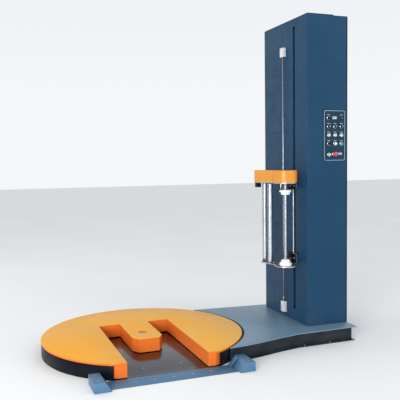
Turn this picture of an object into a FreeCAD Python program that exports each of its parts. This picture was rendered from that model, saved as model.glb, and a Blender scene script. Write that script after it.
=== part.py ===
"""Turntable pallet wrapper with an M-shaped table, a mast and a film carriage.

Frame: millimetres, +Z up, origin on the floor under the table's turning axis.
+X runs from the table to the mast, and pallets enter from -Y.
"""
import FreeCAD, Part
import math
import os
import re
import Sketcher

# Driving dimensions: alias, value in millimetres (or degrees), meaning.
DIMENSIONS = [
    ("table_radius", 750, "radius of the turning table's top plate"),
    ("table_height", 110, "height of the table top and of the deck"),
    ("table_sheet", 12, "thickness of the table's top plate"),
    ("channel_outer", 280, "half distance between the two legs of the table"),
    ("tongue_half", 114, "half width of the tongue between the fork channels"),
    ("channel_back", 286, "how far the fork channels reach behind the axis"),
    ("leg_end", 655, "distance of the legs' flat ends in front of the axis"),
    ("tongue_front", 186, "distance of the tongue's end in front of the axis"),
    ("tongue_nose", 76, "half width of the tongue's end between its chamfers"),
    ("tongue_cheek", 122, "distance in front of the axis where the chamfers start"),
    ("table_lip", 15, "overhang of the top plate beyond the drum wall"),
    ("table_wall", 6, "thickness of the table's side walls"),
    ("wall_foot", 12, "height of the lower edge of the table's side walls"),
    ("floor_sheet", 6, "thickness of the floor plate"),
    ("ring_outer", 748, "outer radius of the fixed rim wall"),
    ("ring_inner", 741, "inner radius of the fixed rim wall"),
    ("ring_gap", 4, "gap between the rim wall and the table's top plate"),
    ("entry_half", 370, "half width of the rim wall's opening at the entry"),
    ("hub_radius", 88, "radius of the hub gearmotor's housing"),
    ("hub_height", 80, "height of the top of the hub gearmotor"),
    ("hub_bore", 25, "radius of the table's spigot in the gearmotor"),
    ("run_gap", 0.05, "radial clearance of a shaft in its bore"),
    ("part_gap", 0.3, "gap between faces that roll or turn past each other"),
    ("wheel_radius", 34, "radius of a support wheel"),
    ("wheel_width", 26, "width of a support wheel"),
    ("wheel_pin", 8, "radius of a support wheel's axle pin"),
    ("wheel_track", 600, "radius of the circle that the support wheels run on"),
    ("sill_middle", 9.5, "x of the middle of the entry sill"),
    ("sill_half", 424.5, "half width of the entry ramp"),
    ("sill_back", 668, "distance of the ramp's high edge in front of the axis"),
    ("sill_front", 800, "distance of the ramp's low edge in front of the axis"),
    ("sill_rise", 9, "height of the ramp's back edge"),
    ("block_width", 114, "width of a sill end block at its foot"),
    ("block_crest", 70, "width of a sill end block at its top"),
    ("block_height", 64, "height of a sill end block"),
    ("block_front", 830, "distance of the end blocks' fronts from the axis"),
    ("block_back", 640, "distance of the end blocks' backs from the axis"),
    ("deck_sheet", 6, "thickness of the deck plate and of the bottom flange"),
    ("deck_cutout", 768, "radius of the deck's cut-out round the table"),
    ("horn_x", 453, "x of the deck's front corner beside the table"),
    ("horn_y", -628, "y of the deck's front corner beside the table"),
    ("shoulder_x", 574, "x of the second point of the deck's front edge"),
    ("shoulder_y", -615, "y of the second point of the deck's front edge"),
    ("waist_x", 722, "x of the third point of the deck's front edge"),
    ("waist_y", -586, "y of the third point of the deck's front edge"),
    ("hip_x", 893, "x of the fourth point of the deck's front edge"),
    ("hip_y", -541, "y of the fourth point of the deck's front edge"),
    ("toe_x", 1064, "x where the deck's front edge turns straight"),
    ("toe_y", -507, "y where the deck's front edge turns straight"),
    ("front_end_x", 1570, "x of the deck's front far corner"),
    ("front_end_y", -500, "y of the deck's front far corner"),
    ("rear_end_x", 1570, "x of the deck's rear far corner"),
    ("rear_end_y", 415, "y of the deck's rear far corner"),
    ("rear_mast_x", 1235, "x of the bend in the deck's rear edge"),
    ("rear_mast_y", 432, "y of the bend in the deck's rear edge"),
    ("rear_horn_x", 585, "x of the deck's rear corner beside the table"),
    ("rear_horn_y", 494, "y of the deck's rear corner beside the table"),
    ("web_inset", 30, "how far the base's web stands behind the deck's edge"),
    ("flange_inset", 12, "how far the bottom flange stands behind the deck's edge"),
    ("mast_front", 1218, "x of the mast's face towards the table"),
    ("mast_back", 1568, "x of the mast's rear face"),
    ("mast_half", 360, "half width of the mast"),
    ("mast_top", 2497, "height of the mast's cap"),
    ("mast_sheet", 4, "thickness of the mast's sheet"),
    ("mast_flange", 28, "width of the mast's rear return flanges"),
    ("cap_depth", 232, "depth of the raised front part of the mast's cap"),
    ("cap_step", 10, "thickness of the mast's cap"),
    ("slot_middle", -152, "y of the middle of the carriage slot"),
    ("slot_half", 18, "half width of the carriage slot"),
    ("slot_foot", 205, "height of the slot's lower end"),
    ("slot_top", 2434, "height of the slot's upper end"),
    ("rail_near", 38, "distance from the slot's middle to a rail's open side"),
    ("rail_far", 70, "distance from the slot's middle to a rail's back"),
    ("rail_depth", 50, "depth of a guide rail from the mast's face"),
    ("rail_sheet", 4, "thickness of a guide rail"),
    ("chain_radius", 42, "pitch radius of the lift chain on its sprockets"),
    ("chain_half", 5, "half thickness of the lift chain"),
    ("chain_width", 12, "width of the lift chain"),
    ("chain_axis", 1327, "x of the two sprocket axes"),
    ("sprocket_low", 200, "height of the lower sprocket's axis"),
    ("sprocket_high", 2400, "height of the upper sprocket's axis"),
    ("sprocket_shaft", 10, "radius of the sprocket shafts"),
    ("rod_reach", 15, "distance of the limit rod's axis from the mast's face"),
    ("rod_radius", 4.5, "radius of the limit rod"),
    ("rod_foot", 235, "height of the limit rod's lower end"),
    ("rod_top", 2223, "height of the limit rod's upper end"),
    ("panel_left", 1357, "x of the control panel's left edge"),
    ("panel_width", 193, "width of the control panel"),
    ("panel_foot", 1385, "height of the control panel's lower edge"),
    ("panel_height", 390, "height of the control panel"),
    ("panel_sheet", 5, "thickness of the control panel"),
    ("control_left", 1401, "x of the first column of controls"),
    ("control_pitch_x", 56.5, "distance between the columns of controls"),
    ("control_foot", 1518, "height of the lowest row of controls"),
    ("control_pitch_z", 65.5, "distance between the rows of controls"),
    ("bezel_radius", 15, "outer radius of a control's bezel"),
    ("bezel_depth", 5, "depth of a control's bezel"),
    ("stem_radius", 6, "radius of a control's stem"),
    ("stem_reach", 12, "how far a stem goes behind the panel's front"),
    ("mandrel_x", 1075, "x of the film mandrel's axis"),
    ("mandrel_y", -272, "y of the film mandrel's axis"),
    ("mandrel_radius", 12, "radius of the mandrel's shaft"),
    ("arm_angle", 103.3, "direction of the carriage's arm from +X, in degrees"),
    ("arm_length", 305, "distance from the mandrel to the arm's round end"),
    ("bottom_arm", 237, "distance from the mandrel to the bottom plate's round end"),
    ("arm_half", 45, "half width of the carriage's arm"),
    ("lobe_radius", 89, "radius of the carriage's cover round the mandrel"),
    ("lobe_blend", 60, "radius of the curve between lobe and arm"),
    ("carriage_foot", 577, "height of the bottom plate's underside"),
    ("carriage_head", 1226, "height of the top plate's upper side"),
    ("carriage_sheet", 8, "thickness of the carriage's two plates"),
    ("bottom_trim", 3, "how far the bottom plate stands inside the cover's outline"),
    ("cover_height", 92, "height of the carriage's cover"),
    ("cover_sheet", 3, "thickness of the carriage's cover"),
    ("bracket_left", 1135, "x of the mast brackets' free side"),
    ("bracket_gap", 6, "gap between the brackets and the mast's face"),
    ("bracket_near", 212, "distance of the brackets' open side from y = 0"),
    ("bracket_far", 110, "distance of the brackets' closed side from y = 0"),
    ("bracket_low", 78, "height of the lower bracket"),
    ("bracket_high", 48, "height of the upper bracket"),
    ("bracket_sheet", 4, "thickness of the brackets' sheet"),
    ("arm_plate", 9, "half thickness of the arms that pass the slot"),
    ("trolley_front", 1245, "x of the front of the trolley plate"),
    ("trolley_sheet", 12, "thickness of the trolley plate"),
    ("tie_x", 1185, "x of the carriage's tie rod"),
    ("tie_y", -200, "y of the carriage's tie rod"),
    ("tie_radius", 7, "radius of the carriage's tie rod"),
    ("core_radius", 35, "radius of the two plugs in the film's core"),
    ("core_flange", 45, "radius of the two flanges that the core rests against"),
    ("cone_shoulder", 608, "height of the shoulder that the film core stands on"),
    ("cone_top", 632, "height of the lower plug's top"),
    ("hub_foot", 1131, "height of the upper plug's lower end"),
    ("hub_shoulder", 1151, "height of the upper plug's shoulder"),
    ("hub_head", 1167, "height of the upper flange's top"),
    ("spring_radius", 18, "mean radius of the core hub's spring"),
    ("spring_wire", 1.5, "radius of the spring's wire"),
    ("roller_radius", 21.5, "radius of a film roller"),
    ("roller_pin", 6, "radius of a film roller's journals"),
    ("roller_gap", 4, "gap between a roller's end and the plate beside it"),
    ("outer_roller_x", 1028, "x of the outer film roller"),
    ("outer_roller_y", -15, "y of the outer film roller"),
    ("inner_roller_x", 1027, "x of the inner film roller"),
    ("inner_roller_y", -110, "y of the inner film roller"),
]

# Corners of the deck's edges, in the order of its outline round the mast.
DECK_FRONT = ["horn", "shoulder", "waist", "hip", "toe", "front_end"]
DECK_REAR = ["rear_end", "rear_mast", "rear_horn"]

WHEEL_ANGLES = [-35, 50, 130, 215]

doc = FreeCAD.newDocument("PalletWrapper")
sheet = doc.addObject("Spreadsheet::Sheet", "dims")
ALIASES = {alias for alias, _, _ in DIMENSIONS}
PARTS = []


def fill_sheet():
    """Writes the driving dimensions into the sheet, one row each."""
    for row, (alias, number, meaning) in enumerate(DIMENSIONS, start=1):
        sheet.set(f"A{row}", str(number))
        sheet.setAlias(f"A{row}", alias)
        sheet.set(f"B{row}", meaning)
    doc.recompute()


def bound(text):
    """Returns the expression with every alias pointing at the sheet."""
    def qualify(match):
        word = match.group(0)
        return f"dims.{word}" if word in ALIASES else word
    return re.sub(r"[a-z][a-z0-9_]*", qualify, text)


def size(text):
    """Returns the value of an expression of the sheet as a number."""
    return float(sheet.evalExpression(bound(text)))


def place(item, base, turn_axis=None, turn=None):
    """Binds an object's place, and turns it about an axis by an angle."""
    if turn_axis is not None:
        axis = FreeCAD.Vector(*turn_axis)
        item.Placement = FreeCAD.Placement(FreeCAD.Vector(), FreeCAD.Rotation(axis, size(turn)))
        item.setExpression(".Placement.Rotation.Angle", bound(turn))
    for letter, text in zip("xyz", base):
        item.setExpression(f".Placement.Base.{letter}", bound(text))
    return item


def keep(item):
    """Marks an object as a sub-part, written to a file of its own."""
    item.Label = item.Name
    PARTS.append(item)
    return item


def box(name, low, lengths):
    """Makes a box from its low corner and its three lengths."""
    item = doc.addObject("Part::Box", name)
    for side, text in zip(("Length", "Width", "Height"), lengths):
        item.setExpression(side, bound(text))
    return place(item, low)


TURNS = {"Z": None, "-Y": (1, 0, 0), "X": (0, 1, 0)}


def cylinder(name, radius, length, base, along="Z"):
    """Makes a cylinder that runs from base along Z, -Y or X."""
    item = doc.addObject("Part::Cylinder", name)
    item.setExpression("Radius", bound(radius))
    item.setExpression("Height", bound(length))
    if TURNS[along] is None:
        return place(item, base)
    return place(item, base, TURNS[along], "90")


def fuse(name, items):
    """Joins objects into one."""
    item = doc.addObject("Part::MultiFuse", name)
    item.Shapes = items
    return item


def group(name, items):
    """Holds several separate solids in one object."""
    item = doc.addObject("Part::Compound", name)
    item.Links = items
    return item


def cut(name, base, tools):
    """Takes one or more tools away from a base."""
    item = doc.addObject("Part::Cut", name)
    item.Base = base
    item.Tool = tools[0] if len(tools) == 1 else fuse(name + "_tools", tools)
    return item


def new_sketch(body, name, plane):
    """Starts a sketch on one of the body's own origin planes."""
    sketch = body.newObject("Sketcher::SketchObject", name)
    faces = [f for f in body.Origin.OriginFeatures if f.Role == plane]
    sketch.AttachmentSupport = (faces[0], [""])
    sketch.MapMode = "FlatFace"
    return sketch


def draw_polygon(sketch, points):
    """Draws a closed outline whose corners are bound to expressions."""
    count = len(points)
    corners = [FreeCAD.Vector(size(x), size(y), 0) for x, y in points]
    for index in range(count):
        line = Part.LineSegment(corners[index], corners[(index + 1) % count])
        sketch.addGeometry(line, False)
    for index in range(count):
        after = (index + 1) % count
        sketch.addConstraint(Sketcher.Constraint("Coincident", index, 2, after, 1))
    for index, pair in enumerate(points):
        for kind, text in zip(("DistanceX", "DistanceY"), pair):
            rule = Sketcher.Constraint(kind, -1, 1, index, 1, size(text))
            number = sketch.addConstraint(rule)
            sketch.renameConstraint(number, f"{kind.lower()}_{index}")
            sketch.setExpression(f"Constraints.{kind.lower()}_{index}", bound(text))


def prism(name, points, length, base, plane="XY_Plane"):
    """Pads a polygon drawn on an origin plane, then shifts the body."""
    body = doc.addObject("PartDesign::Body", name)
    sketch = new_sketch(body, name + "_sketch", plane)
    draw_polygon(sketch, points)
    pad = body.newObject("PartDesign::Pad", name + "_pad")
    pad.Profile = sketch
    pad.setExpression("Length", bound(length))
    sketch.Visibility = False
    return place(body, base)


def turned(name, profile, base, along="Z"):
    """Revolves a profile of (radius, height) corners about its own axis."""
    body = doc.addObject("PartDesign::Body", name)
    sketch = new_sketch(body, name + "_sketch", "XZ_Plane")
    draw_polygon(sketch, profile)
    solid = body.newObject("PartDesign::Revolution", name + "_turned")
    solid.Profile = sketch
    solid.ReferenceAxis = (sketch, ["V_Axis"])
    solid.Angle = 360
    if TURNS[along] is None:
        return place(body, base)
    return place(body, base, TURNS[along], "90")


# ---------------------------------------------------------------- turning table

def channel_outline(inset):
    """Returns the outline of the void that the two fork channels make."""
    side = f"channel_outer + {inset}"
    back = f"channel_back + {inset}"
    tongue = f"tongue_half - {inset}"
    nose = f"tongue_nose - {inset} / 2"
    front = f"-tongue_front + {inset}"
    cheek = f"-tongue_cheek + {inset} / 2"
    far = "-table_radius - 20"
    return [
        (f"-({side})", far),
        (side, far),
        (side, back),
        (tongue, back),
        (tongue, cheek),
        (nose, front),
        (f"-({nose})", front),
        (f"-({tongue})", cheek),
        (f"-({tongue})", back),
        (f"-({side})", back),
    ]


def table_slab(name, radius, inset, low, height):
    """Makes the M-shaped plan of the table as a slab."""
    disc = cylinder(name + "_disc", radius, height, ("0", "0", low))
    void = prism(name + "_void", channel_outline(inset), f"{height} + 2", ("0", "0", f"{low} - 1"))
    chord = box(
        name + "_chord",
        ("-table_radius", f"-table_radius - leg_end + {inset}", f"{low} - 1"),
        ("2 * table_radius", "table_radius", f"{height} + 2"),
    )
    return cut(name, disc, [void, chord])


def make_table():
    """Builds the table's top, its walls, its hub and its wheel brackets."""
    under = "table_height - table_sheet"
    slab = table_slab("table_slab", "table_radius", "0", under, "table_sheet")
    hole = cylinder("pivot_hole", "30", "table_sheet + 2", ("0", "0", f"{under} - 1"))
    keep(cut("table_top", slab, [hole]))

    wall_height = f"({under} - wall_foot)"
    outer = table_slab("skirt_outer", "table_radius - table_lip", "0", "wall_foot", wall_height)
    inner = table_slab(
        "skirt_inner",
        "table_radius - table_lip - table_wall",
        "table_wall",
        "wall_foot - 1",
        f"({wall_height} + 2)",
    )
    keep(cut("table_walls", outer, [inner]))

    spigot_foot = "hub_height - 34"
    keep(turned("table_hub", [
        ("0", spigot_foot),
        ("hub_bore", spigot_foot),
        ("hub_bore", "hub_height + 4"),
        ("hub_radius - 6", "hub_height + 4"),
        ("hub_radius - 6", under),
        ("18", under),
        ("18", "table_height - 4"),
        ("0", "table_height - 4"),
    ], ("0", "0", "0")))
    keep(group("wheel_brackets", [wheel_bracket(i, a) for i, a in enumerate(WHEEL_ANGLES, 1)]))
    for index, angle in enumerate(WHEEL_ANGLES, start=1):
        support_wheel(index, angle)


def wheel_bracket(index, angle):
    """Makes one fork with its axle pin, hung under the top plate."""
    name = f"bracket_{index}"
    cheek_gap = "wheel_width / 2 + 1"
    top = "table_height - table_sheet"
    middle = "floor_sheet + wheel_radius + part_gap"
    plate = box(name + "_plate", (f"-({cheek_gap}) - 5", "-26", f"{top} - 8"),
                (f"2 * ({cheek_gap}) + 10", "52", "8"))
    near = box(name + "_near", (f"-({cheek_gap}) - 5", "-16", "wall_foot + 14"),
               ("5", "32", f"{top} - wall_foot - 22"))
    far = box(name + "_far", (cheek_gap, "-16", "wall_foot + 14"),
              ("5", "32", f"{top} - wall_foot - 22"))
    pin = cylinder(name + "_pin", "wheel_pin", f"2 * ({cheek_gap}) + 10",
                   (f"-({cheek_gap}) - 5", "0", middle), "X")
    whole = fuse(name, [plate, near, far, pin])
    return place(whole, wheel_spot(angle, "0"), (0, 0, 1), str(angle))


def wheel_spot(angle, height):
    """Returns the place of a support wheel on its track."""
    return (f"wheel_track * cos({angle} * 1deg)", f"wheel_track * sin({angle} * 1deg)", height)


def support_wheel(index, angle):
    """Makes one support wheel with its bore along the table's radius."""
    name = f"support_wheel_{index}"
    half = "wheel_width / 2"
    body = turned(name + "_turned", [
        ("wheel_pin + run_gap", f"-{half}"),
        ("wheel_radius - 3", f"-{half}"),
        ("wheel_radius", f"-{half} + 3"),
        ("wheel_radius", f"{half} - 3"),
        ("wheel_radius - 3", half),
        ("wheel_pin + run_gap", half),
    ], ("0", "0", "0"), "X")
    holder = group(name, [body])
    spot = wheel_spot(angle, "floor_sheet + wheel_radius + part_gap")
    keep(place(holder, spot, (0, 0, 1), str(angle)))


# ------------------------------------------------------------------------ base

def make_floor():
    """Builds the floor plate, the rim wall, the entry sill and the hub motor."""
    disc = cylinder("floor_disc", "ring_inner - 1", "floor_sheet", ("0", "0", "0"))
    apron = box("floor_apron", ("-entry_half + 6", "-sill_back + 1", "0"),
                ("2 * entry_half - 12", "sill_back - 1", "floor_sheet"))
    front = box("floor_front", ("-ring_outer", "-sill_back + 1 - ring_outer", "-1"),
                ("2 * ring_outer", "ring_outer", "floor_sheet + 2"))
    keep(cut("floor_plate", fuse("floor_solid", [disc, apron]), [front]))

    height = "table_height - table_sheet - ring_gap"
    ring = cylinder("ring_solid", "ring_outer", height, ("0", "0", "0"))
    core = cylinder("ring_core", "ring_inner", f"{height} + 2", ("0", "0", "-1"))
    entry = box("ring_entry", ("-entry_half", "-ring_outer - 1", "-1"),
                ("2 * entry_half", "ring_outer", f"{height} + 2"))
    keep(cut("base_rim", ring, [core, entry]))

    keep(prism("entry_sill", [
        ("-sill_front", "0"),
        ("-sill_back", "0"),
        ("-sill_back", "sill_rise"),
        ("-sill_front", "2"),
    ], "2 * sill_half", ("sill_middle - sill_half", "0", "0"), "YZ_Plane"))
    sill_block("sill_block_left", "sill_middle - sill_half", -1)
    sill_block("sill_block_right", "sill_middle + sill_half", 1)

    keep(turned("hub_gearmotor", [
        ("hub_bore + run_gap", "floor_sheet"),
        ("hub_radius + 10", "floor_sheet"),
        ("hub_radius + 10", "floor_sheet + 8"),
        ("hub_radius", "floor_sheet + 8"),
        ("hub_radius", "hub_height - 12"),
        ("hub_radius - 12", "hub_height"),
        ("hub_bore + run_gap", "hub_height"),
    ], ("0", "0", "0")))


def sill_block(name, inner_edge, side):
    """Makes a block with one upright side and one inclined side."""
    keep(prism(name, [
        ("0", "0"),
        (f"{side} * block_width", "0"),
        (f"{side} * block_width", "block_height"),
        (f"{side} * (block_width - block_crest)", "block_height"),
    ][::-side], "block_front - block_back", (inner_edge, "-block_back", "0"), "XZ_Plane"))


def deck_outline(inset):
    """Returns the deck's outline, moved inwards by inset."""
    def corner(name, side):
        end = f" - {inset}" if name.endswith("_end") else ""
        return (f"{name}_x{end}", f"{name}_y {side} {inset}")
    return [corner(name, "+") for name in DECK_FRONT] + [corner(name, "-") for name in DECK_REAR]


def make_deck():
    """Builds the deck plate and the web and flange that carry it."""
    top = prism("deck_slab", deck_outline("0"), "deck_sheet", ("0", "0", "table_height - deck_sheet"))
    round_top = cylinder("deck_round", "deck_cutout", "deck_sheet + 2",
                         ("0", "0", "table_height - deck_sheet - 1"))
    keep(cut("base_deck", top, [round_top]))

    flange = prism("flange_slab", deck_outline("flange_inset"), "deck_sheet", ("0", "0", "0"))
    height = "table_height - 2 * deck_sheet"
    web = prism("web_slab", deck_outline("web_inset"), height, ("0", "0", "deck_sheet"))
    hollow = prism("web_hollow", deck_outline("(web_inset + 8)"), f"{height} + 2",
                   ("0", "0", "deck_sheet - 1"))
    web_wall = cut("web_wall", web, [hollow])
    whole = fuse("frame_solid", [flange, web_wall])
    round_foot = cylinder("frame_round", "deck_cutout - 12", "table_height", ("0", "0", "-1"))
    keep(cut("base_frame", whole, [round_foot]))


# ------------------------------------------------------------------------ mast

def make_mast():
    """Builds the mast's sheets, its cap, its rear cover and the limit rod."""
    foot = "table_height"
    height = "mast_top - cap_step - table_height"
    depth = "mast_back - mast_front"
    outer = box("mast_outer", ("mast_front", "-mast_half", foot), (depth, "2 * mast_half", height))
    hollow = box("mast_hollow", ("mast_front + mast_sheet", "-mast_half + mast_sheet", f"{foot} - 1"),
                 (f"{depth} - 2 * mast_sheet", "2 * mast_half - 2 * mast_sheet", f"{height} + 2"))
    rear = box("mast_rear_gap", ("mast_back - mast_sheet - 1", "-mast_half + mast_flange", f"{foot} - 1"),
               ("mast_sheet + 2", "2 * mast_half - 2 * mast_flange", f"{height} + 2"))
    slot = box("mast_slot", ("mast_front - 1", "slot_middle - slot_half", "slot_foot"),
               ("mast_sheet + 2", "2 * slot_half", "slot_top - slot_foot"))
    window = box("mast_window", ("panel_left + 10", "-mast_half - 1", "panel_foot + 10"),
                 ("panel_width - 20", "mast_sheet + 2", "panel_height - 20"))
    keep(cut("mast_shell", outer, [hollow, rear, slot, window]))

    head = "mast_top - cap_step"
    keep(box("mast_cap", ("mast_front", "-mast_half", head),
             ("cap_depth", "2 * mast_half", "cap_step")))
    rear_top = box("rear_cover_top", ("mast_front + cap_depth", "-mast_half", head),
                   ("mast_back - mast_front - cap_depth + mast_sheet", "2 * mast_half", "mast_sheet"))
    rear_sheet = box("rear_cover_sheet", ("mast_back", "-mast_half", foot),
                     ("mast_sheet", "2 * mast_half", f"{height} + mast_sheet"))
    vents = [
        box(f"rear_vent_{i}", ("mast_back - 1", "-120", str(1900 + 24 * i)),
            ("mast_sheet + 2", "240", "8"))
        for i in range(8)
    ]
    keep(cut("rear_cover", fuse("rear_cover_solid", [rear_top, rear_sheet]), vents))
    screws = [
        cylinder(f"rear_screw_{side}_{row}", "6", "4",
                 ("mast_back + mast_sheet", f"{y} * (mast_half - 14)", str(200 + 440 * row)), "X")
        for side, y in (("left", "-1"), ("right", "1"))
        for row in range(6)
    ]
    keep(group("rear_cover_screws", screws))

    rod_x = "mast_front - rod_reach"
    collar = cylinder("rod_collar", "rod_radius + 4", "22", (rod_x, "0", "rod_foot + 20"))
    rod = cylinder("rod_bar", "rod_radius", "rod_top - rod_foot", (rod_x, "0", "rod_foot"))
    keep(fuse("limit_rod", [rod, collar]))
    low = box("rod_block_low", ("mast_front - 30", "-25", "rod_foot - 85"), ("30", "50", "85"))
    high = box("rod_block_high", ("mast_front - 30", "-25", "rod_top"), ("30", "50", "72"))
    keep(group("limit_rod_blocks", [low, high]))


def guide_rail(name, side):
    """Makes one channel section that opens towards the slot's middle."""
    low_y = f"slot_middle + {side} * (rail_near + rail_far) / 2 - (rail_far - rail_near) / 2"
    inner_x = "mast_front + mast_sheet + rail_sheet"
    shift = "rail_sheet" if side < 0 else "-rail_sheet"
    height = "mast_top - cap_step - table_height - 10"
    outer = box(name + "_outer", ("mast_front + mast_sheet", low_y, "table_height"),
                ("rail_depth", "rail_far - rail_near", height))
    hollow = box(name + "_hollow", (inner_x, f"{low_y} + {shift}", "table_height - 1"),
                 ("rail_depth - 2 * rail_sheet", "rail_far - rail_near", f"{height} + 2"))
    return cut(name, outer, [hollow])


def make_lift():
    """Builds the guide rails, the chain, its sprockets and the gearmotor."""
    rail_back = "mast_front + mast_sheet + rail_depth"
    low_rail = guide_rail("rail_near_side", -1)
    high_rail = guide_rail("rail_far_side", 1)
    head = box("rail_head", (rail_back, "slot_middle - 62", "sprocket_high - 40"),
               ("chain_axis + 40 - mast_front - mast_sheet - rail_depth", "34", "80"))
    bore = cylinder("rail_head_bore", "sprocket_shaft + run_gap", "60",
                    ("chain_axis", "slot_middle", "sprocket_high"), "-Y")
    keep(group("guide_rails", [fuse("near_rail_head", [low_rail, cut("bored_head", head, [bore])]),
                               high_rail]))

    low_loop = stadium("chain_outer", "chain_radius + chain_half", "chain_width")
    high_loop = stadium("chain_inner", "chain_radius - chain_half", "chain_width + 2")
    keep(cut("lift_chain", low_loop, [high_loop]))
    sprocket("upper_sprocket", "sprocket_high", "slot_middle - 58", "58")
    sprocket("lower_sprocket", "sprocket_low", "slot_middle - 5", "90")

    middle = "sprocket_low"
    gearbox = box("gearbox", ("chain_axis - 48", "slot_middle + 20", f"{middle} - 52"),
                  ("96", "90", "104"))
    shaft_bore = cylinder("gearbox_bore", "sprocket_shaft + run_gap", "80",
                          ("chain_axis", "slot_middle + 88", middle), "-Y")
    motor = cylinder("motor_can", "46", "190", ("chain_axis", "slot_middle + 300", middle), "-Y")
    fan = cylinder("motor_fan", "50", "36", ("chain_axis", "slot_middle + 336", middle), "-Y")
    foot = box("motor_foot", ("chain_axis - 48", "slot_middle + 20", "table_height"),
               ("120", "90", "sprocket_low - 52 - table_height"))
    keep(cut("lift_gearmotor", fuse("gearmotor_solid", [gearbox, motor, fan, foot]), [shaft_bore]))


def stadium(name, radius, width):
    """Makes the filled outline of the chain's loop."""
    far = f"slot_middle + ({width}) / 2"
    low = cylinder(name + "_low", radius, width, ("chain_axis", far, "sprocket_low"), "-Y")
    high = cylinder(name + "_high", radius, width, ("chain_axis", far, "sprocket_high"), "-Y")
    run = box(name + "_run", (f"chain_axis - ({radius})", f"slot_middle - ({width}) / 2", "sprocket_low"),
              (f"2 * ({radius})", width, "sprocket_high - sprocket_low"))
    return fuse(name, [low, high, run])


def sprocket(name, height, shaft_low, shaft_length):
    """Makes a sprocket with its shaft on one side."""
    rim = "chain_radius - chain_half - part_gap"
    wheel = cylinder(name + "_wheel", rim, "8", ("chain_axis", "slot_middle + 4", height), "-Y")
    boss = cylinder(name + "_boss", "18", "16", ("chain_axis", "slot_middle + 8", height), "-Y")
    shaft = cylinder(name + "_shaft", "sprocket_shaft", shaft_length,
                     ("chain_axis", f"{shaft_low} + {shaft_length}", height), "-Y")
    keep(fuse(name, [wheel, boss, shaft]))


# --------------------------------------------------------------- control panel

def control_x(column):
    """Returns the x of a column of controls."""
    return f"control_left + {column} * control_pitch_x"


def control_z(row):
    """Returns the height of a row of controls, counted from the lowest."""
    return f"control_foot + {row} * control_pitch_z"


SWITCH_X = "control_left + 2"
SWITCH_Z = "control_foot - 84"
STOP_X = "control_left + 46"
STOP_Z = "control_foot - 80"
PANEL_FACE = "-mast_half - panel_sheet"


def make_panel():
    """Builds the panel, its fixed fittings and every control on it."""
    spots = [(control_x(0), control_z(3))]
    spots += [(control_x(c), control_z(r)) for r in (2, 1, 0) for c in range(3)]
    spots += [(SWITCH_X, SWITCH_Z), (STOP_X, STOP_Z)]
    plate = box("panel_blank", ("panel_left", PANEL_FACE, "panel_foot"),
                ("panel_width", "panel_sheet", "panel_height"))
    bores = [
        cylinder(f"panel_bore_{i}", "stem_radius + 2", "panel_sheet + 2", (x, "-mast_half + 1", z), "-Y")
        for i, (x, z) in enumerate(spots)
    ]
    keep(cut("panel_plate", plate, bores))
    keep(group("panel_bezels", [bezel(i, x, z) for i, (x, z) in enumerate(spots)]))
    keep(box("panel_display", ("control_left + 32", f"{PANEL_FACE} - 4", "control_foot + 187"),
             ("36", "4", "20")))
    keep(turned("panel_lamp", [
        ("0", "0"), ("10", "0"), ("10", "5"), ("7", "9"), ("0", "10"),
    ], (control_x(2), PANEL_FACE, control_z(3)), "-Y"))

    back = box("back_box_outer", ("panel_left + 4", "-mast_half + mast_sheet", "panel_foot + 4"),
               ("panel_width - 8", "110", "panel_height - 8"))
    room = box("back_box_room", ("panel_left + 6", "-mast_half + mast_sheet - 1", "panel_foot + 6"),
               ("panel_width - 12", "109", "panel_height - 12"))
    keep(cut("panel_back_box", back, [room]))

    knob("wrap_count_knob", control_x(0), control_z(3))
    for column, name in enumerate(("table_speed_knob", "lift_speed_knob", "film_force_knob")):
        knob(name, control_x(column), control_z(2))
    for column, name in enumerate(("mode_selector", "cycle_selector", "reinforce_selector")):
        selector(name, control_x(column), control_z(1), "11")
    for column, name in enumerate(("lift_down_button", "lift_up_button", "start_button")):
        button(name, control_x(column), control_z(0))
    selector("main_switch", SWITCH_X, SWITCH_Z, "9")
    stop_button("emergency_stop", STOP_X, STOP_Z)


def bezel(index, x, z):
    """Makes one control's ring, bored for the stem."""
    return turned(f"bezel_{index}", [
        ("stem_radius + run_gap", "0"),
        ("bezel_radius", "0"),
        ("bezel_radius", "bezel_depth - 2"),
        ("bezel_radius - 2", "bezel_depth"),
        ("stem_radius + run_gap", "bezel_depth"),
    ], (x, PANEL_FACE, z), "-Y")


def stem_corners():
    """Returns the profile of a stem, up to where its head begins."""
    return [("0", "-stem_reach"), ("stem_radius", "-stem_reach")]


def knob(name, x, z):
    """Makes a round knob with a raised pointer bar."""
    foot = "bezel_depth + part_gap"
    body = turned(name + "_turned", stem_corners() + [
        ("stem_radius", foot),
        ("12", foot),
        ("12", "bezel_depth + 4"),
        ("10.5", "bezel_depth + 16"),
        ("0", "bezel_depth + 16"),
    ], (x, PANEL_FACE, z), "-Y")
    bar = box(name + "_bar", (f"{x} - 1.25", f"{PANEL_FACE} - bezel_depth - 17.5", z),
              ("2.5", "2", "10"))
    keep(fuse(name, [body, bar]))


def selector(name, x, z, radius):
    """Makes a selector switch: a low disc with a grip across it."""
    foot = "bezel_depth + part_gap"
    body = turned(name + "_turned", stem_corners() + [
        ("stem_radius", foot),
        (radius, foot),
        (radius, "bezel_depth + 5"),
        ("0", "bezel_depth + 5"),
    ], (x, PANEL_FACE, z), "-Y")
    grip = box(name + "_grip", (f"{x} - 3", f"{PANEL_FACE} - bezel_depth - 16", f"{z} - {radius} + 1"),
               ("6", "12", f"2 * {radius} - 2"))
    keep(fuse(name, [body, grip]))


def button(name, x, z):
    """Makes a push button that stands proud of its bezel."""
    keep(turned(name, stem_corners() + [
        ("stem_radius", "bezel_depth + 5"),
        ("10.5", "bezel_depth + 5"),
        ("10.5", "bezel_depth + 9"),
        ("9.5", "bezel_depth + 10"),
        ("0", "bezel_depth + 10"),
    ], (x, PANEL_FACE, z), "-Y"))


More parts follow.
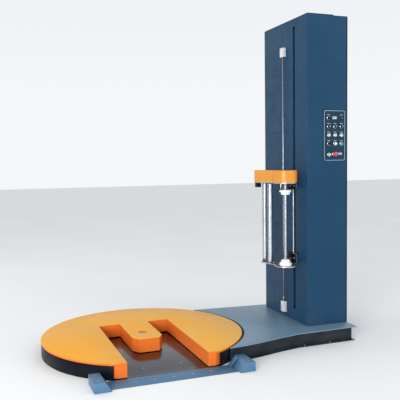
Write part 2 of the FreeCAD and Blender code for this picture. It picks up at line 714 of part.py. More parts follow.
def stop_button(name, x, z):
    """Makes a mushroom head for stopping in an emergency."""
    keep(turned(name, stem_corners() + [
        ("stem_radius", "bezel_depth + 7"),
        ("12", "bezel_depth + 7"),
        ("13", "bezel_depth + 14"),
        ("20", "bezel_depth + 16"),
        ("19.5", "bezel_depth + 21"),
        ("16", "bezel_depth + 25"),
        ("9", "bezel_depth + 27"),
        ("0", "bezel_depth + 27.5"),
    ], (x, PANEL_FACE, z), "-Y"))


# -------------------------------------------------------------- film carriage

def lobe_face(inset, arm):
    """Returns the carriage's plan: a round lobe that blends into an arm.

    The lobe's centre is the origin and the arm runs along +X. The blend
    curves touch both the lobe and the arm's straight sides.
    """
    lobe = size(f"lobe_radius - {inset}")
    half = size(f"arm_half - {inset}")
    length = size(arm)
    blend = size(f"lobe_blend + {inset}")
    blend_x = math.sqrt((lobe + blend) ** 2 - (half + blend) ** 2)
    share = lobe / (lobe + blend)
    touch = FreeCAD.Vector(blend_x * share, (half + blend) * share, 0)
    centre = FreeCAD.Vector(blend_x, half + blend, 0)
    leave = FreeCAD.Vector(blend_x, half, 0)
    middle = centre + (touch + leave - centre * 2).normalize() * blend
    far = FreeCAD.Vector(length, half, 0)

    def low(point):
        return FreeCAD.Vector(point.x, -point.y, 0)

    edges = [
        Part.Arc(low(touch), FreeCAD.Vector(-lobe, 0, 0), touch),
        Part.Arc(touch, middle, leave),
        Part.LineSegment(leave, far),
        Part.Arc(far, FreeCAD.Vector(length + half, 0, 0), low(far)),
        Part.LineSegment(low(far), low(leave)),
        Part.Arc(low(leave), low(middle), low(touch)),
    ]
    return Part.Face(Part.Wire([edge.toShape() for edge in edges]))


def lobe_slab(name, inset, low, height, arm="arm_length"):
    """Makes a slab of the carriage's plan, turned into the arm's direction."""
    item = doc.addObject("Part::Feature", name)
    item.Shape = lobe_face(inset, arm).extrude(FreeCAD.Vector(0, 0, size(height)))
    return place(item, ("mandrel_x", "mandrel_y", low), (0, 0, 1), "arm_angle")


def bore_tools(name, low, height):
    """Makes the cutters for the mandrel and for the two film rollers."""
    spots = [
        ("mandrel", "mandrel_radius", "mandrel_x", "mandrel_y"),
        ("outer", "roller_pin", "outer_roller_x", "outer_roller_y"),
        ("inner", "roller_pin", "inner_roller_x", "inner_roller_y"),
    ]
    return [
        cylinder(f"{name}_{spot}", f"{radius} + run_gap", f"{height} + 2", (x, y, f"{low} - 1"))
        for spot, radius, x, y in spots
    ]


def carriage_plate(name, inset, low, arm):
    """Makes one of the two plates, with the tab that reaches the bracket."""
    slab = lobe_slab(name + "_slab", inset, low, "carriage_sheet", arm)
    tab = box(name + "_tab", ("mandrel_x - 20", "-bracket_near", low),
              ("mast_front - bracket_gap - mandrel_x + 20", "bracket_near - bracket_far", "carriage_sheet"))
    keep(cut(name, fuse(name + "_solid", [slab, tab]), bore_tools(name, low, "carriage_sheet")))


def mast_bracket(name, low, height):
    """Makes an open-fronted bracket with the arm that passes the slot."""
    width = "mast_front - bracket_gap - bracket_left"
    outer = box(name + "_outer", ("bracket_left", "-bracket_near", low),
                (width, "bracket_near - bracket_far", height))
    room = box(name + "_room", ("bracket_left + bracket_sheet", "-bracket_near - 1",
                                f"{low} + bracket_sheet"),
               (f"{width} - 2 * bracket_sheet", "bracket_near - bracket_far - bracket_sheet + 1",
                f"{height} - 2 * bracket_sheet"))
    arm = box(name + "_arm", ("mast_front - bracket_gap - 2", "slot_middle - arm_plate", f"{low} + 6"),
              ("trolley_front - mast_front + bracket_gap + 2", "2 * arm_plate", f"{height} - 12"))
    keep(fuse(name, [cut(name + "_shell", outer, [room]), arm]))


def make_trolley():
    """Builds the trolley that runs in the guide rails behind the slot."""
    low = "carriage_foot + carriage_sheet"
    height = "carriage_head - carriage_sheet - carriage_foot - carriage_sheet"
    reach = "rail_far - rail_sheet - 1"
    plate = box("trolley_web", ("trolley_front", f"slot_middle - ({reach})", low),
                ("trolley_sheet", f"2 * ({reach})", height))
    pads = []
    for side, start in (("near", f"slot_middle - ({reach})"), ("far", "slot_middle + rail_near + 4")):
        for end, base in (("low", low), ("high", f"{low} + {height} - 70")):
            pads.append(box(f"pad_{side}_{end}", ("mast_front + mast_sheet + rail_sheet + 0.5", start, base),
                            ("rail_depth - 2 * rail_sheet - 1", f"{reach} - rail_near - 4", "70")))
    lug = box("chain_lug", ("trolley_front + trolley_sheet", "slot_middle - 10", "carriage_foot + 290"),
              ("chain_axis - chain_radius - chain_half - 0.5 - trolley_front - trolley_sheet", "20", "60"))
    keep(fuse("lift_trolley", [plate, lug] + pads))


def make_carriage():
    """Builds the film carriage's frame, cover, brake and photocell."""
    inner = "carriage_foot + carriage_sheet"
    outer = "carriage_head - carriage_sheet"
    carriage_plate("carriage_bottom_plate", "bottom_trim", "carriage_foot", "bottom_arm")
    carriage_plate("carriage_top_plate", "0", outer, "arm_length")
    mast_bracket("lower_bracket", inner, "bracket_low")
    mast_bracket("upper_bracket", f"{outer} - bracket_high", "bracket_high")
    make_trolley()
    keep(cylinder("tie_rod", "tie_radius", f"{outer} - bracket_high - ({inner}) - bracket_low",
                  ("tie_x", "tie_y", f"{inner} + bracket_low")))

    shell = lobe_slab("cover_solid", "0", "carriage_head", "cover_height")
    room = lobe_slab("cover_room", "cover_sheet", "carriage_head - 1", "cover_height - cover_sheet + 1")
    keep(cut("carriage_cover", shell, [room]))

    brake = cylinder("brake_can", "27", "42", ("inner_roller_x", "inner_roller_y", "carriage_head"))
    bore = cylinder("brake_bore", "roller_pin + run_gap", "60",
                    ("inner_roller_x", "inner_roller_y", "carriage_head - 1"))
    keep(cut("film_brake", brake, [bore]))

    eye = box("photocell_body", ("arm_length + 2", "-14", "0"), ("38", "34", "38"))
    holder = group("film_photocell", [eye])
    keep(place(holder, ("mandrel_x", "mandrel_y", f"{outer} - 38"), (0, 0, 1), "arm_angle"))


def film_roller(name, x, y, journal_top):
    """Makes one film roller with its two journals."""
    inner = "carriage_foot + carriage_sheet + roller_gap"
    outer = "carriage_head - carriage_sheet - roller_gap"
    keep(turned(name, [
        ("0", "carriage_foot + 1"),
        ("roller_pin", "carriage_foot + 1"),
        ("roller_pin", inner),
        ("roller_radius - 1", inner),
        ("roller_radius", f"{inner} + 1"),
        ("roller_radius", f"{outer} - 1"),
        ("roller_radius - 1", outer),
        ("roller_pin", outer),
        ("roller_pin", journal_top),
        ("0", journal_top),
    ], (x, y, "0")))


def make_film_path():
    """Builds the mandrel, the core holders with their spring and the rollers."""
    keep(cylinder("mandrel_shaft", "mandrel_radius", "carriage_head - carriage_foot - 2",
                  ("mandrel_x", "mandrel_y", "carriage_foot + 1")))
    spot = ("mandrel_x", "mandrel_y", "0")
    foot = "carriage_foot + carriage_sheet + part_gap"
    bore = "mandrel_radius + run_gap"
    keep(turned("core_cone", [
        (bore, foot),
        ("core_flange + 2", foot),
        ("core_flange + 2", f"{foot} + 6"),
        ("core_flange", "cone_shoulder"),
        ("core_radius", "cone_shoulder"),
        ("core_radius", "cone_shoulder + 15"),
        ("core_radius - 12", "cone_top"),
        (bore, "cone_top"),
    ], spot))
    keep(turned("core_hub", [
        (bore, "hub_foot"),
        ("core_radius - 4", "hub_foot"),
        ("core_radius", "hub_foot + 5"),
        ("core_radius", "hub_shoulder"),
        ("core_flange", "hub_shoulder"),
        ("core_flange", "hub_head - 2"),
        ("core_flange - 2", "hub_head"),
        (bore, "hub_head"),
    ], spot))
    make_spring()
    film_roller("outer_film_roller", "outer_roller_x", "outer_roller_y", "carriage_head - 1")
    film_roller("inner_film_roller", "inner_roller_x", "inner_roller_y", "carriage_head + 40")


def make_spring():
    """Builds the coil spring between the core hub and the top plate.

    Its wire is eight-sided, so that a mesh can follow the coil's faces.
    """
    wire = size("spring_wire")
    radius = size("spring_radius")
    low = size("hub_head + spring_wire") + 0.2
    high = size("carriage_head - carriage_sheet - spring_wire") - 0.2
    coil = Part.makeHelix((high - low) / 5, high - low, radius)
    turns = [math.radians(45 * corner + 22.5) for corner in range(9)]
    ring = Part.makePolygon([
        FreeCAD.Vector(radius + wire * math.cos(turn), 0, wire * math.sin(turn)) for turn in turns
    ])
    item = doc.addObject("Part::Feature", "hub_spring")
    item.Shape = Part.Wire(coil.Edges).makePipeShell([ring], True, True)
    item.Placement.Base = FreeCAD.Vector(size("mandrel_x"), size("mandrel_y"), low)
    keep(item)


# ---------------------------------------------------------------------- output

def check_document():
    """Stops if any object failed or any sub-part has no valid shape."""
    for item in doc.Objects:
        if "Invalid" in item.State or "Error" in item.State:
            raise RuntimeError(f"{item.Name} failed: {item.State}")
    for item in PARTS:
        if item.Shape.isNull() or not item.Shape.isValid() or not item.Shape.Solids:
            raise RuntimeError(f"{item.Label} has no valid solid")


def write_parts():
    """Writes each sub-part's shape to its own file."""
    os.makedirs("parts", exist_ok=True)
    for item in PARTS:
        item.Shape.exportStep(f"parts/{item.Label}.step")


def main():
    """Builds the whole wrapper and writes it out."""
    fill_sheet()
    make_floor()
    make_deck()
    make_table()
    make_mast()
    make_lift()
    make_panel()
    make_carriage()
    make_film_path()
    doc.recompute()
    check_document()
    write_parts()
    print(f"{len(PARTS)} sub-parts")


main()
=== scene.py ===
"""Looks of a turntable pallet wrapper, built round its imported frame.

The machine has an M-shaped turntable on a floor plate, a base arm, a mast with
a control panel and a film carriage. All sizes are metres in the frame's axes.
"""
import logging
import math
from dataclasses import dataclass
from enum import Enum
from typing import Iterable, Sequence

import bmesh
import bpy
from mathutils import Matrix, Vector


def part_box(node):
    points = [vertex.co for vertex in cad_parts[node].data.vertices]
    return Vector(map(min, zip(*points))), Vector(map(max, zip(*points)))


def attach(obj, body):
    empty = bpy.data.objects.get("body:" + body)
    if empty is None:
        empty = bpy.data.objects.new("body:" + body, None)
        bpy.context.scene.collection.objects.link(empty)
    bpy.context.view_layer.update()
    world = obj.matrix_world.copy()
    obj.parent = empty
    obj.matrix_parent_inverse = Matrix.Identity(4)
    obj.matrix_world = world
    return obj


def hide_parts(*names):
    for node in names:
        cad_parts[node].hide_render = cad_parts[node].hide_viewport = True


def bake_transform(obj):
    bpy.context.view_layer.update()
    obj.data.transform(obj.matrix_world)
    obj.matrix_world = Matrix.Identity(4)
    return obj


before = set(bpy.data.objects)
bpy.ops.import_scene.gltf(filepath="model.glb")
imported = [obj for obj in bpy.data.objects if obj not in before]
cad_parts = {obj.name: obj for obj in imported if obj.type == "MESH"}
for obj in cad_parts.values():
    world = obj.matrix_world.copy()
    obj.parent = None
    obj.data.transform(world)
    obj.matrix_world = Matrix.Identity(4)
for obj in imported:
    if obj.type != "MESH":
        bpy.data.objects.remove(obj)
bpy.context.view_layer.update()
log = logging.getLogger("wrapper")

Flat = tuple[float, float]
Outline = list[Flat]
Point = Sequence[float]
Colour = tuple[float, float, float]

SHARP = math.radians(30)
NEARLY_STRAIGHT = math.radians(160)
SIDE_SHARE = 0.48
SAME_PLACE = 1e-6
MOST_COATS = 4
X_AXIS = Vector((1, 0, 0))
Y_AXIS = Vector((0, 1, 0))
Z_AXIS = Vector((0, 0, 1))
# Lays a plan's X along +Y and its Y along +Z, and raises it towards +X.
SIDEWAYS = Matrix(((0, 0, 1, 0), (1, 0, 0, 0), (0, 1, 0, 0), (0, 0, 0, 1)))


# -------------------------------------------------------------------- outlines

def arc(radius: float, start: float, stop: float, steps: int, centre: Flat = (0, 0)) -> Outline:
    """Walks along a circular arc.

    Args:
        radius: the arc's radius.
        start: first angle in degrees.
        stop: last angle in degrees.
        steps: how many straight steps make the arc.
        centre: the arc's centre.

    Returns:
        The points, both ends included.
    """
    angles = [math.radians(start + (stop - start) * i / steps) for i in range(steps + 1)]
    return [(centre[0] + radius * math.cos(a), centre[1] + radius * math.sin(a)) for a in angles]


def circle(radius: float, steps: int = 32, centre: Flat = (0, 0)) -> Outline:
    """Returns a closed circle as an outline without a repeated point."""
    return arc(radius, 0, 360, steps, centre)[:-1]


def rectangle(low: Flat, high: Flat) -> Outline:
    """Returns a rectangle's four corners."""
    return [low, (high[0], low[1]), high, (low[0], high[1])]


def rounded(corners: Outline, radius: float, steps: int = 6) -> Outline:
    """Rounds every corner of an outline with an arc that touches both sides.

    Args:
        corners: the outline's corners; nearly straight ones stay as they are.
        radius: the wanted radius, made smaller where a side is short.
        steps: how many straight steps make each arc.

    Returns:
        The outline with its corners rounded.
    """
    points: Outline = []
    count = len(corners)
    for index in range(count):
        here = Vector(corners[index])
        back = Vector(corners[index - 1]) - here
        ahead = Vector(corners[(index + 1) % count]) - here
        turn = back.angle(ahead)
        if turn > NEARLY_STRAIGHT:
            points.append(corners[index])
            continue
        reach = radius / math.tan(turn / 2)
        reach = min(reach, SIDE_SHARE * min(back.length, ahead.length))
        true_radius = reach * math.tan(turn / 2)
        middle = here + (back.normalized() + ahead.normalized()).normalized() * (
            true_radius / math.sin(turn / 2)
        )
        first = here + back.normalized() * reach - middle
        last = here + ahead.normalized() * reach - middle
        sweep = first.angle_signed(last)
        for step in range(steps + 1):
            spoke = first.copy()
            spoke.rotate(Matrix.Rotation(-sweep * step / steps, 2))
            points.append(tuple(middle + spoke))
    return points


def towards(direction: Vector) -> Matrix:
    """Returns the turn that carries +Z onto a direction."""
    return Vector(direction).to_track_quat("Z", "Y").to_matrix().to_4x4()


def at(x: float, y: float, z: float) -> Matrix:
    """Returns the shift to a place."""
    return Matrix.Translation((x, y, z))


def upright(x: float, y: float, z: float) -> Matrix:
    """Returns the frame at a place whose +Z faces the machine's front, -Y."""
    return at(x, y, z) @ Matrix.Rotation(math.pi / 2, 4, "X")


def spun(degrees: float) -> Matrix:
    """Returns a turn about +Z."""
    return Matrix.Rotation(math.radians(degrees), 4, "Z")


def around(count: int, radius: float, start: float, height: float) -> list[Matrix]:
    """Returns the shifts to places spread evenly round the Z axis."""
    return [at(*spot, height) for spot in arc(radius, start, start + 360, count)[:-1]]


# ---------------------------------------------------------------------- solids

class Solid:
    """A mesh in the making, shaped with bmesh operators.

    Each call adds one closed shape. The coat is the number of the finish that
    the next shapes take, in the order given to piece().
    """

    def __init__(self) -> None:
        """Starts an empty mesh."""
        self.mesh = bmesh.new()
        self.coat = 0

    def wear(self, coat: int) -> "Solid":
        """Chooses the finish of the shapes that follow."""
        self.coat = coat
        return self

    def _close(self, faces: Iterable[bmesh.types.BMFace], soft: float, segments: int,
               turn: Matrix | None) -> "Solid":
        """Paints new faces, rounds their sharp edges and puts them in place."""
        faces = [face for face in faces if face.is_valid]
        for face in faces:
            face.material_index = self.coat
        verts = {vert for face in faces for vert in face.verts}
        if turn is not None:
            bmesh.ops.transform(self.mesh, matrix=turn, verts=list(verts))
        if soft > 0:
            edges = {edge for face in faces for edge in face.edges}
            sharp = [e for e in edges if len(e.link_faces) == 2 and e.calc_face_angle(0) > SHARP]
            bmesh.ops.bevel(self.mesh, geom=sharp, offset=soft, offset_type="OFFSET",
                            segments=segments, profile=0.5, affect="EDGES",
                            clamp_overlap=True, material=-1)
        return self

    def _new_faces(self, known: set[bmesh.types.BMFace]) -> list[bmesh.types.BMFace]:
        """Returns the faces that weren't there before."""
        return [face for face in self.mesh.faces if face not in known]

    def block(self, low: Point, high: Point, soft: float = 0.0, turn: Matrix | None = None,
              segments: int = 2) -> "Solid":
        """Adds a box between two corners.

        Args:
            low: lowest corner.
            high: highest corner.
            soft: radius of its rounded edges.
            turn: transform put on the finished box.
            segments: steps in each rounded edge.

        Returns:
            This solid.
        """
        low, high = Vector(low), Vector(high)
        size = high - low
        place = Matrix.Translation((low + high) / 2) @ Matrix.Diagonal((*size, 1))
        made = bmesh.ops.create_cube(self.mesh, size=1, matrix=place)
        faces = {face for vert in made["verts"] for face in vert.link_faces}
        return self._close(faces, soft, segments, turn)

    def rod(self, start: Point, end: Point, radius: float, sides: int = 32,
            soft: float = 0.0) -> "Solid":
        """Adds a round bar.

        Args:
            start: centre of the first end.
            end: centre of the far end.
            radius: the bar's radius.
            sides: number of flat sides.
            soft: radius of the rounded end edges.

        Returns:
            This solid.
        """
        start, end = Vector(start), Vector(end)
        axis = end - start
        place = Matrix.Translation((start + end) / 2) @ towards(axis)
        made = bmesh.ops.create_cone(self.mesh, cap_ends=True, cap_tris=False, segments=sides,
                                     radius1=radius, radius2=radius,
                                     depth=axis.length, matrix=place)
        faces = {face for vert in made["verts"] for face in vert.link_faces}
        return self._close(faces, soft, 2, None)

    def plate(self, outline: Outline, low: float, high: float, soft: float = 0.0,
              holes: Sequence[Outline] = (), turn: Matrix | None = None,
              segments: int = 2) -> "Solid":
        """Adds an outline given a thickness, with holes through it.

        Args:
            outline: corners of the outer edge.
            low: height of the underside.
            high: height of the top.
            soft: radius of its rounded edges.
            holes: outlines of the holes.
            turn: transform put on the finished plate.
            segments: steps in each rounded edge.

        Returns:
            This solid.
        """
        known = set(self.mesh.faces)
        rims = []
        for loop in (outline, *holes):
            corners = [self.mesh.verts.new((x, y, low)) for x, y in loop]
            rims.append([
                self.mesh.edges.new((corners[i - 1], corners[i])) for i in range(len(corners))
            ])
        if holes:
            edges = [edge for rim in rims for edge in rim]
            bmesh.ops.triangle_fill(self.mesh, use_beauty=True, use_dissolve=False, edges=edges,
                                    normal=Z_AXIS)
        else:
            bmesh.ops.contextual_create(self.mesh, geom=rims[0])
        floor_faces = self._new_faces(known)
        raised = bmesh.ops.extrude_face_region(self.mesh, geom=floor_faces)
        verts = [item for item in raised["geom"] if isinstance(item, bmesh.types.BMVert)]
        bmesh.ops.translate(self.mesh, vec=(0, 0, high - low), verts=verts)
        faces = self._new_faces(known)
        bmesh.ops.recalc_face_normals(self.mesh, faces=faces)
        return self._close(faces, soft, segments, turn)

    def lathe(self, profile: Outline, place: Matrix | None = None, steps: int = 48,
              bored: bool = False) -> "Solid":
        """Spins a profile of (radius, height) about its own Z axis.

        Args:
            profile: corners from one end to the other.
            place: transform put on the finished shape.
            steps: number of steps round the axis.
            bored: True joins the last corner to the first, for a shape with a bore.

        Returns:
            This solid.
        """
        known = set(self.mesh.faces)
        corners = [self.mesh.verts.new((radius, 0, height)) for radius, height in profile]
        pairs = list(zip(corners, corners[1:]))
        if bored:
            pairs.append((corners[-1], corners[0]))
        edges = [self.mesh.edges.new(pair) for pair in pairs]
        bmesh.ops.spin(self.mesh, geom=corners + edges, cent=(0, 0, 0), axis=Z_AXIS,
                       dvec=(0, 0, 0), angle=2 * math.pi, steps=steps, use_merge=True,
                       use_normal_flip=False, use_duplicate=False)
        faces = self._new_faces(known)
        verts = list({vert for face in faces for vert in face.verts})
        bmesh.ops.remove_doubles(self.mesh, verts=verts, dist=SAME_PLACE)
        faces = self._new_faces(known)
        bmesh.ops.recalc_face_normals(self.mesh, faces=faces)
        return self._close(faces, 0, 1, place)

    def hollow(self, outline: Outline, low: float, high: float, wall: float, soft: float,
               turn: Matrix | None = None) -> "Solid":
        """Adds a cap that is open below, with a rounded upper edge.

        Args:
            outline: corners of the cap's outer edge.
            low: height of the open rim.
            high: height of the top.
            wall: thickness of the sheet.
            soft: radius of the upper edge.
            turn: transform put on the finished cap.

        Returns:
            This solid.
        """
        known = set(self.mesh.faces)
        corners = [self.mesh.verts.new((x, y, low)) for x, y in outline]
        bottom = self.mesh.faces.new(corners)
        raised = bmesh.ops.extrude_face_region(self.mesh, geom=[bottom])
        verts = [item for item in raised["geom"] if isinstance(item, bmesh.types.BMVert)]
        bmesh.ops.translate(self.mesh, vec=(0, 0, high - low), verts=verts)
        faces = self._new_faces(known)
        bmesh.ops.recalc_face_normals(self.mesh, faces=faces)
        rim = [e for e in self.mesh.edges if all(abs(v.co.z - high) < SAME_PLACE for v in e.verts)
               and all(v in verts for v in e.verts)]
        bmesh.ops.bevel(self.mesh, geom=rim, offset=soft, offset_type="OFFSET", segments=5,
                        profile=0.5, affect="EDGES", clamp_overlap=True, material=-1)
        faces = self._new_faces(known)
        open_faces = [f for f in faces if all(abs(v.co.z - low) < SAME_PLACE for v in f.verts)]
        bmesh.ops.delete(self.mesh, geom=open_faces, context="FACES_ONLY")
        faces = self._new_faces(known)
        bmesh.ops.solidify(self.mesh, geom=faces, thickness=wall)
        return self._close(self._new_faces(known), 0, 1, turn)

    def sides(self, coat: int) -> "Solid":
        """Gives every upright face made so far another finish."""
        self.mesh.normal_update()
        for face in self.mesh.faces:
            if abs(face.normal.z) < 0.5:
                face.material_index = coat
        return self

    def carve(self, cutter: "Solid") -> "Solid":
        """Takes another solid away from this one and uses it up."""
        body = self._bare("carved")
        tool = cutter._bare("cutter")
        rule = body.modifiers.new("cut", "BOOLEAN")
        rule.operation = "DIFFERENCE"
        rule.solver = "EXACT"
        rule.object = tool
        seen = body.evaluated_get(bpy.context.evaluated_depsgraph_get())
        self.mesh = bmesh.new()
        self.mesh.from_mesh(seen.to_mesh())
        seen.to_mesh_clear()
        for spent in (body, tool):
            mesh = spent.data
            bpy.data.objects.remove(spent)
            bpy.data.meshes.remove(mesh)
        return self

    def _bare(self, name: str) -> bpy.types.Object:
        """Turns the mesh into a plain object and lets go of it."""
        mesh = bpy.data.meshes.new(name)
        for _ in range(MOST_COATS):
            mesh.materials.append(None)
        self.mesh.to_mesh(mesh)
        self.mesh.free()
        item = bpy.data.objects.new(name, mesh)
        bpy.context.scene.collection.objects.link(item)
        return item

    def piece(self, name: str, body: str, finishes: Sequence["Coat"],
              replaces: Sequence[str] = (), slot: str | None = None) -> bpy.types.Object:
        """Turns the mesh into a dressed piece that rides on a body.

        Args:
            name: the piece's name.
            body: the frame's body that carries it, or "" to leave it on no body.
            finishes: its finishes, in the order of the coats' numbers.
            replaces: the frame's nodes that it stands for.
            slot: not used.

        Returns:
            The new object.
        """
        item = self._bare(name)
        for number, finish in enumerate(finishes):
            item.data.materials[number] = finish.material()
        while len(item.data.materials) > len(finishes):
            item.data.materials.pop()
        item.data.shade_smooth()
        item.data.set_sharp_from_angle(angle=SHARP)
        if body:
            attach(item, body)
        if replaces:
            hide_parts(*replaces)
        log.info("%s: %d faces", name, len(item.data.polygons))
        return item


def dress(node: str, finish: "Coat") -> None:
    """Gives a node of the frame its finish."""
    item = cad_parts[node]
    item.data.materials.clear()
    item.data.materials.append(finish.material())
    log.info("%s: dressed", node)


# -------------------------------------------------------------------- finishes

class Recipe:
    """A material's nodes, added one call at a time."""

    def __init__(self, name: str) -> None:
        """Starts a material with one surface shader and its own coordinates."""
        self.material = bpy.data.materials.new(name)
        self.material.use_nodes = True
        self.tree = self.material.node_tree
        self.shader = self.tree.nodes["Principled BSDF"]
        self.place = self.add("ShaderNodeTexCoord").outputs["Object"]

    def add(self, kind: str, settings: dict | None = None, **inputs: object) -> bpy.types.Node:
        """Adds a node.

        Args:
            kind: the node's type name.
            settings: its properties by name.
            inputs: its sockets by name, each a value or another node's socket.

        Returns:
            The node.
        """
        node = self.tree.nodes.new(kind)
        for key, value in (settings or {}).items():
            setattr(node, key, value)
        for key, value in inputs.items():
            self.feed(node, key.replace("_", " "), value)
        return node

    def feed(self, node: bpy.types.Node, key: str | int, value: object) -> None:
        """Links a socket to an input, or sets the input's value."""
        if isinstance(value, bpy.types.NodeSocket):
            self.tree.links.new(value, node.inputs[key])
        else:
            node.inputs[key].default_value = value

    def noise(self, scale: float, detail: float = 3.0,
              stretch: Point = (1, 1, 1)) -> bpy.types.NodeSocket:
        """Returns a cloudy value that varies over the object, stretched on its axes."""
        spread = self.add("ShaderNodeMapping", Vector=self.place, Scale=tuple(stretch))
        return self.add("ShaderNodeTexNoise", Vector=spread.outputs[0], Scale=scale,
                        Detail=detail).outputs["Fac"]

    def span(self, value: bpy.types.NodeSocket, low: float, high: float, first: float = 0.0,
             last: float = 1.0) -> bpy.types.NodeSocket:
        """Returns a value carried from one span onto another and held at its ends."""
        return self.add("ShaderNodeMapRange", Value=value, From_Min=low, From_Max=high,
                        To_Min=first, To_Max=last).outputs[0]

    def math(self, rule: str, first: object, second: object = 0.0) -> bpy.types.NodeSocket:
        """Returns two values joined by an arithmetic rule."""
        node = self.add("ShaderNodeMath", {"operation": rule})
        for index, value in enumerate((first, second)):
            self.feed(node, index, value)
        return node.outputs[0]

    def blend(self, share: object, first: object, second: object) -> bpy.types.NodeSocket:
        """Returns one colour turning into another as the share grows."""
        node = self.add("ShaderNodeMix", {"data_type": "RGBA"})
        self.feed(node, 0, share)
        for index, colour in ((6, first), (7, second)):
            self.feed(node, index, (*colour, 1) if isinstance(colour, tuple) else colour)
        return node.outputs[2]

    def height(self) -> bpy.types.NodeSocket:
        """Returns how high a point lies."""
        return self.add("ShaderNodeSeparateXYZ", Vector=self.place).outputs["Z"]

    def edge(self, radius: float) -> bpy.types.NodeSocket:
        """Returns a value that grows near the shape's sharp edges."""
        soft = self.add("ShaderNodeBevel", {"samples": 4}, Radius=radius).outputs[0]
        hard = self.add("ShaderNodeNewGeometry").outputs["Normal"]
        dot = self.add("ShaderNodeVectorMath", {"operation": "DOT_PRODUCT"})
        self.feed(dot, 0, soft)
        self.feed(dot, 1, hard)
        return self.span(dot.outputs["Value"], 0.995, 0.86)

    def bump(self, height: bpy.types.NodeSocket, strength: float, distance: float) -> None:
        """Raises the surface by a value."""
        node = self.add("ShaderNodeBump", Height=height, Strength=strength, Distance=distance)
        self.tree.links.new(node.outputs[0], self.shader.inputs["Normal"])

    def surface(self, **inputs: object) -> None:
        """Sets the shader's own sockets."""
        for key, value in inputs.items():
            if isinstance(value, tuple):
                value = (*value, 1)
            self.feed(self.shader, key.replace("_", " "), value)


@dataclass(frozen=True)
class PowderCoat:
    """Baked paint on sheet steel, with faint mottling, dust and rubbed edges."""

    colour: Colour
    faded: Colour
    gloss: float = 0.38
    peel: float = 0.1
    dust: float = 0.3
    worn: float = 0.5
    shine: float = 0.4
    bared: Colour = (0.32, 0.33, 0.34)

    def make(self, name: str) -> bpy.types.Material:
        """Builds the material."""
        mix = Recipe(name)
        clouds = mix.noise(2.2, 4)
        flecks = mix.noise(34, 6)
        base = mix.blend(mix.span(clouds, 0.35, 0.68), self.colour, self.faded)
        base = mix.blend(mix.span(flecks, 0.62, 0.78, 0, 0.25), base, self.faded)
        low = mix.span(mix.height(), 0.0, 0.32, self.dust, 0.0)
        grime = mix.math("MULTIPLY", low, mix.span(mix.noise(9, 5), 0.35, 0.7))
        base = mix.blend(grime, base, (0.2, 0.19, 0.17))
        rub = mix.math("MULTIPLY", mix.edge(0.003), mix.span(mix.noise(26, 5), 0.5, 0.66))
        rub = mix.math("MULTIPLY", rub, self.worn)
        base = mix.blend(rub, base, self.bared)
        scratch = mix.noise(60, 2, (1, 0.06, 0.5))
        rough = mix.span(mix.noise(12, 5), 0.3, 0.75, self.gloss - 0.07, self.gloss + 0.1)
        rough = mix.math("ADD", rough, mix.span(scratch, 0.64, 0.74, 0, 0.14))
        mix.surface(Base_Color=base, Roughness=rough, Metallic=0.0,
                    Specular_IOR_Level=self.shine)
        mix.bump(mix.noise(420, 2), self.peel, 0.0006)
        return mix.material


@dataclass(frozen=True)
class RolledSteel:
    """Bare sheet steel with rolling marks, scuffs and dark stains."""

    colour: Colour
    stain: Colour
    gloss: float = 0.34
    grain: Point = (1, 40, 1)

    def make(self, name: str) -> bpy.types.Material:
        """Builds the material."""
        mix = Recipe(name)
        lines = mix.noise(7, 6, self.grain)
        blot = mix.noise(4.5, 6)
        base = mix.blend(mix.span(lines, 0.3, 0.72), self.stain, self.colour)
        base = mix.blend(mix.span(blot, 0.54, 0.72, 0, 0.55), base, self.stain)
        rough = mix.span(lines, 0.25, 0.75, self.gloss - 0.08, self.gloss + 0.12)
        rough = mix.math("ADD", rough, mix.span(blot, 0.5, 0.75, 0, 0.15))
        mix.surface(Base_Color=base, Roughness=rough, Metallic=1.0)
        mix.bump(lines, 0.12, 0.0005)
        return mix.material


@dataclass(frozen=True)
class TurnedSteel:
    """Turned or ground steel with fine rings and a few handling marks."""

    colour: Colour
    gloss: float = 0.2
    rings: float = 900.0

    def make(self, name: str) -> bpy.types.Material:
        """Builds the material."""
        mix = Recipe(name)
        lines = mix.noise(self.rings, 2, (0.02, 0.02, 1))
        marks = mix.noise(30, 5)
        darker = tuple(0.72 * part for part in self.colour)
        base = mix.blend(mix.span(marks, 0.35, 0.75), self.colour, darker)
        rough = mix.span(lines, 0.3, 0.7, self.gloss - 0.05, self.gloss + 0.08)
        mix.surface(Base_Color=base, Roughness=rough, Metallic=1.0)
        mix.bump(lines, 0.06, 0.0002)
        return mix.material


@dataclass(frozen=True)
class Moulded:
    """Moulded or cast matter with a fine grain and slightly rubbed edges."""

    colour: Colour
    gloss: float = 0.45
    grain: float = 0.15
    rubbed: Colour = (0.3, 0.3, 0.3)
    scale: float = 700.0
    sheen: float = 0.0
    shine: float = 0.4

    def make(self, name: str) -> bpy.types.Material:
        """Builds the material."""
        mix = Recipe(name)
        tone = tuple(0.8 * part for part in self.colour)
        base = mix.blend(mix.span(mix.noise(45, 4), 0.35, 0.7), self.colour, tone)
        rub = mix.math("MULTIPLY", mix.edge(0.0015), mix.span(mix.noise(80, 4), 0.4, 0.7, 0, 0.5))
        base = mix.blend(rub, base, self.rubbed)
        rough = mix.span(mix.noise(120, 3), 0.3, 0.7, self.gloss - 0.06, self.gloss + 0.08)
        mix.surface(Base_Color=base, Roughness=rough, Metallic=0.0, Coat_Weight=self.sheen,
                    Specular_IOR_Level=self.shine)
        mix.bump(mix.noise(self.scale, 3), self.grain, 0.0004)
        return mix.material


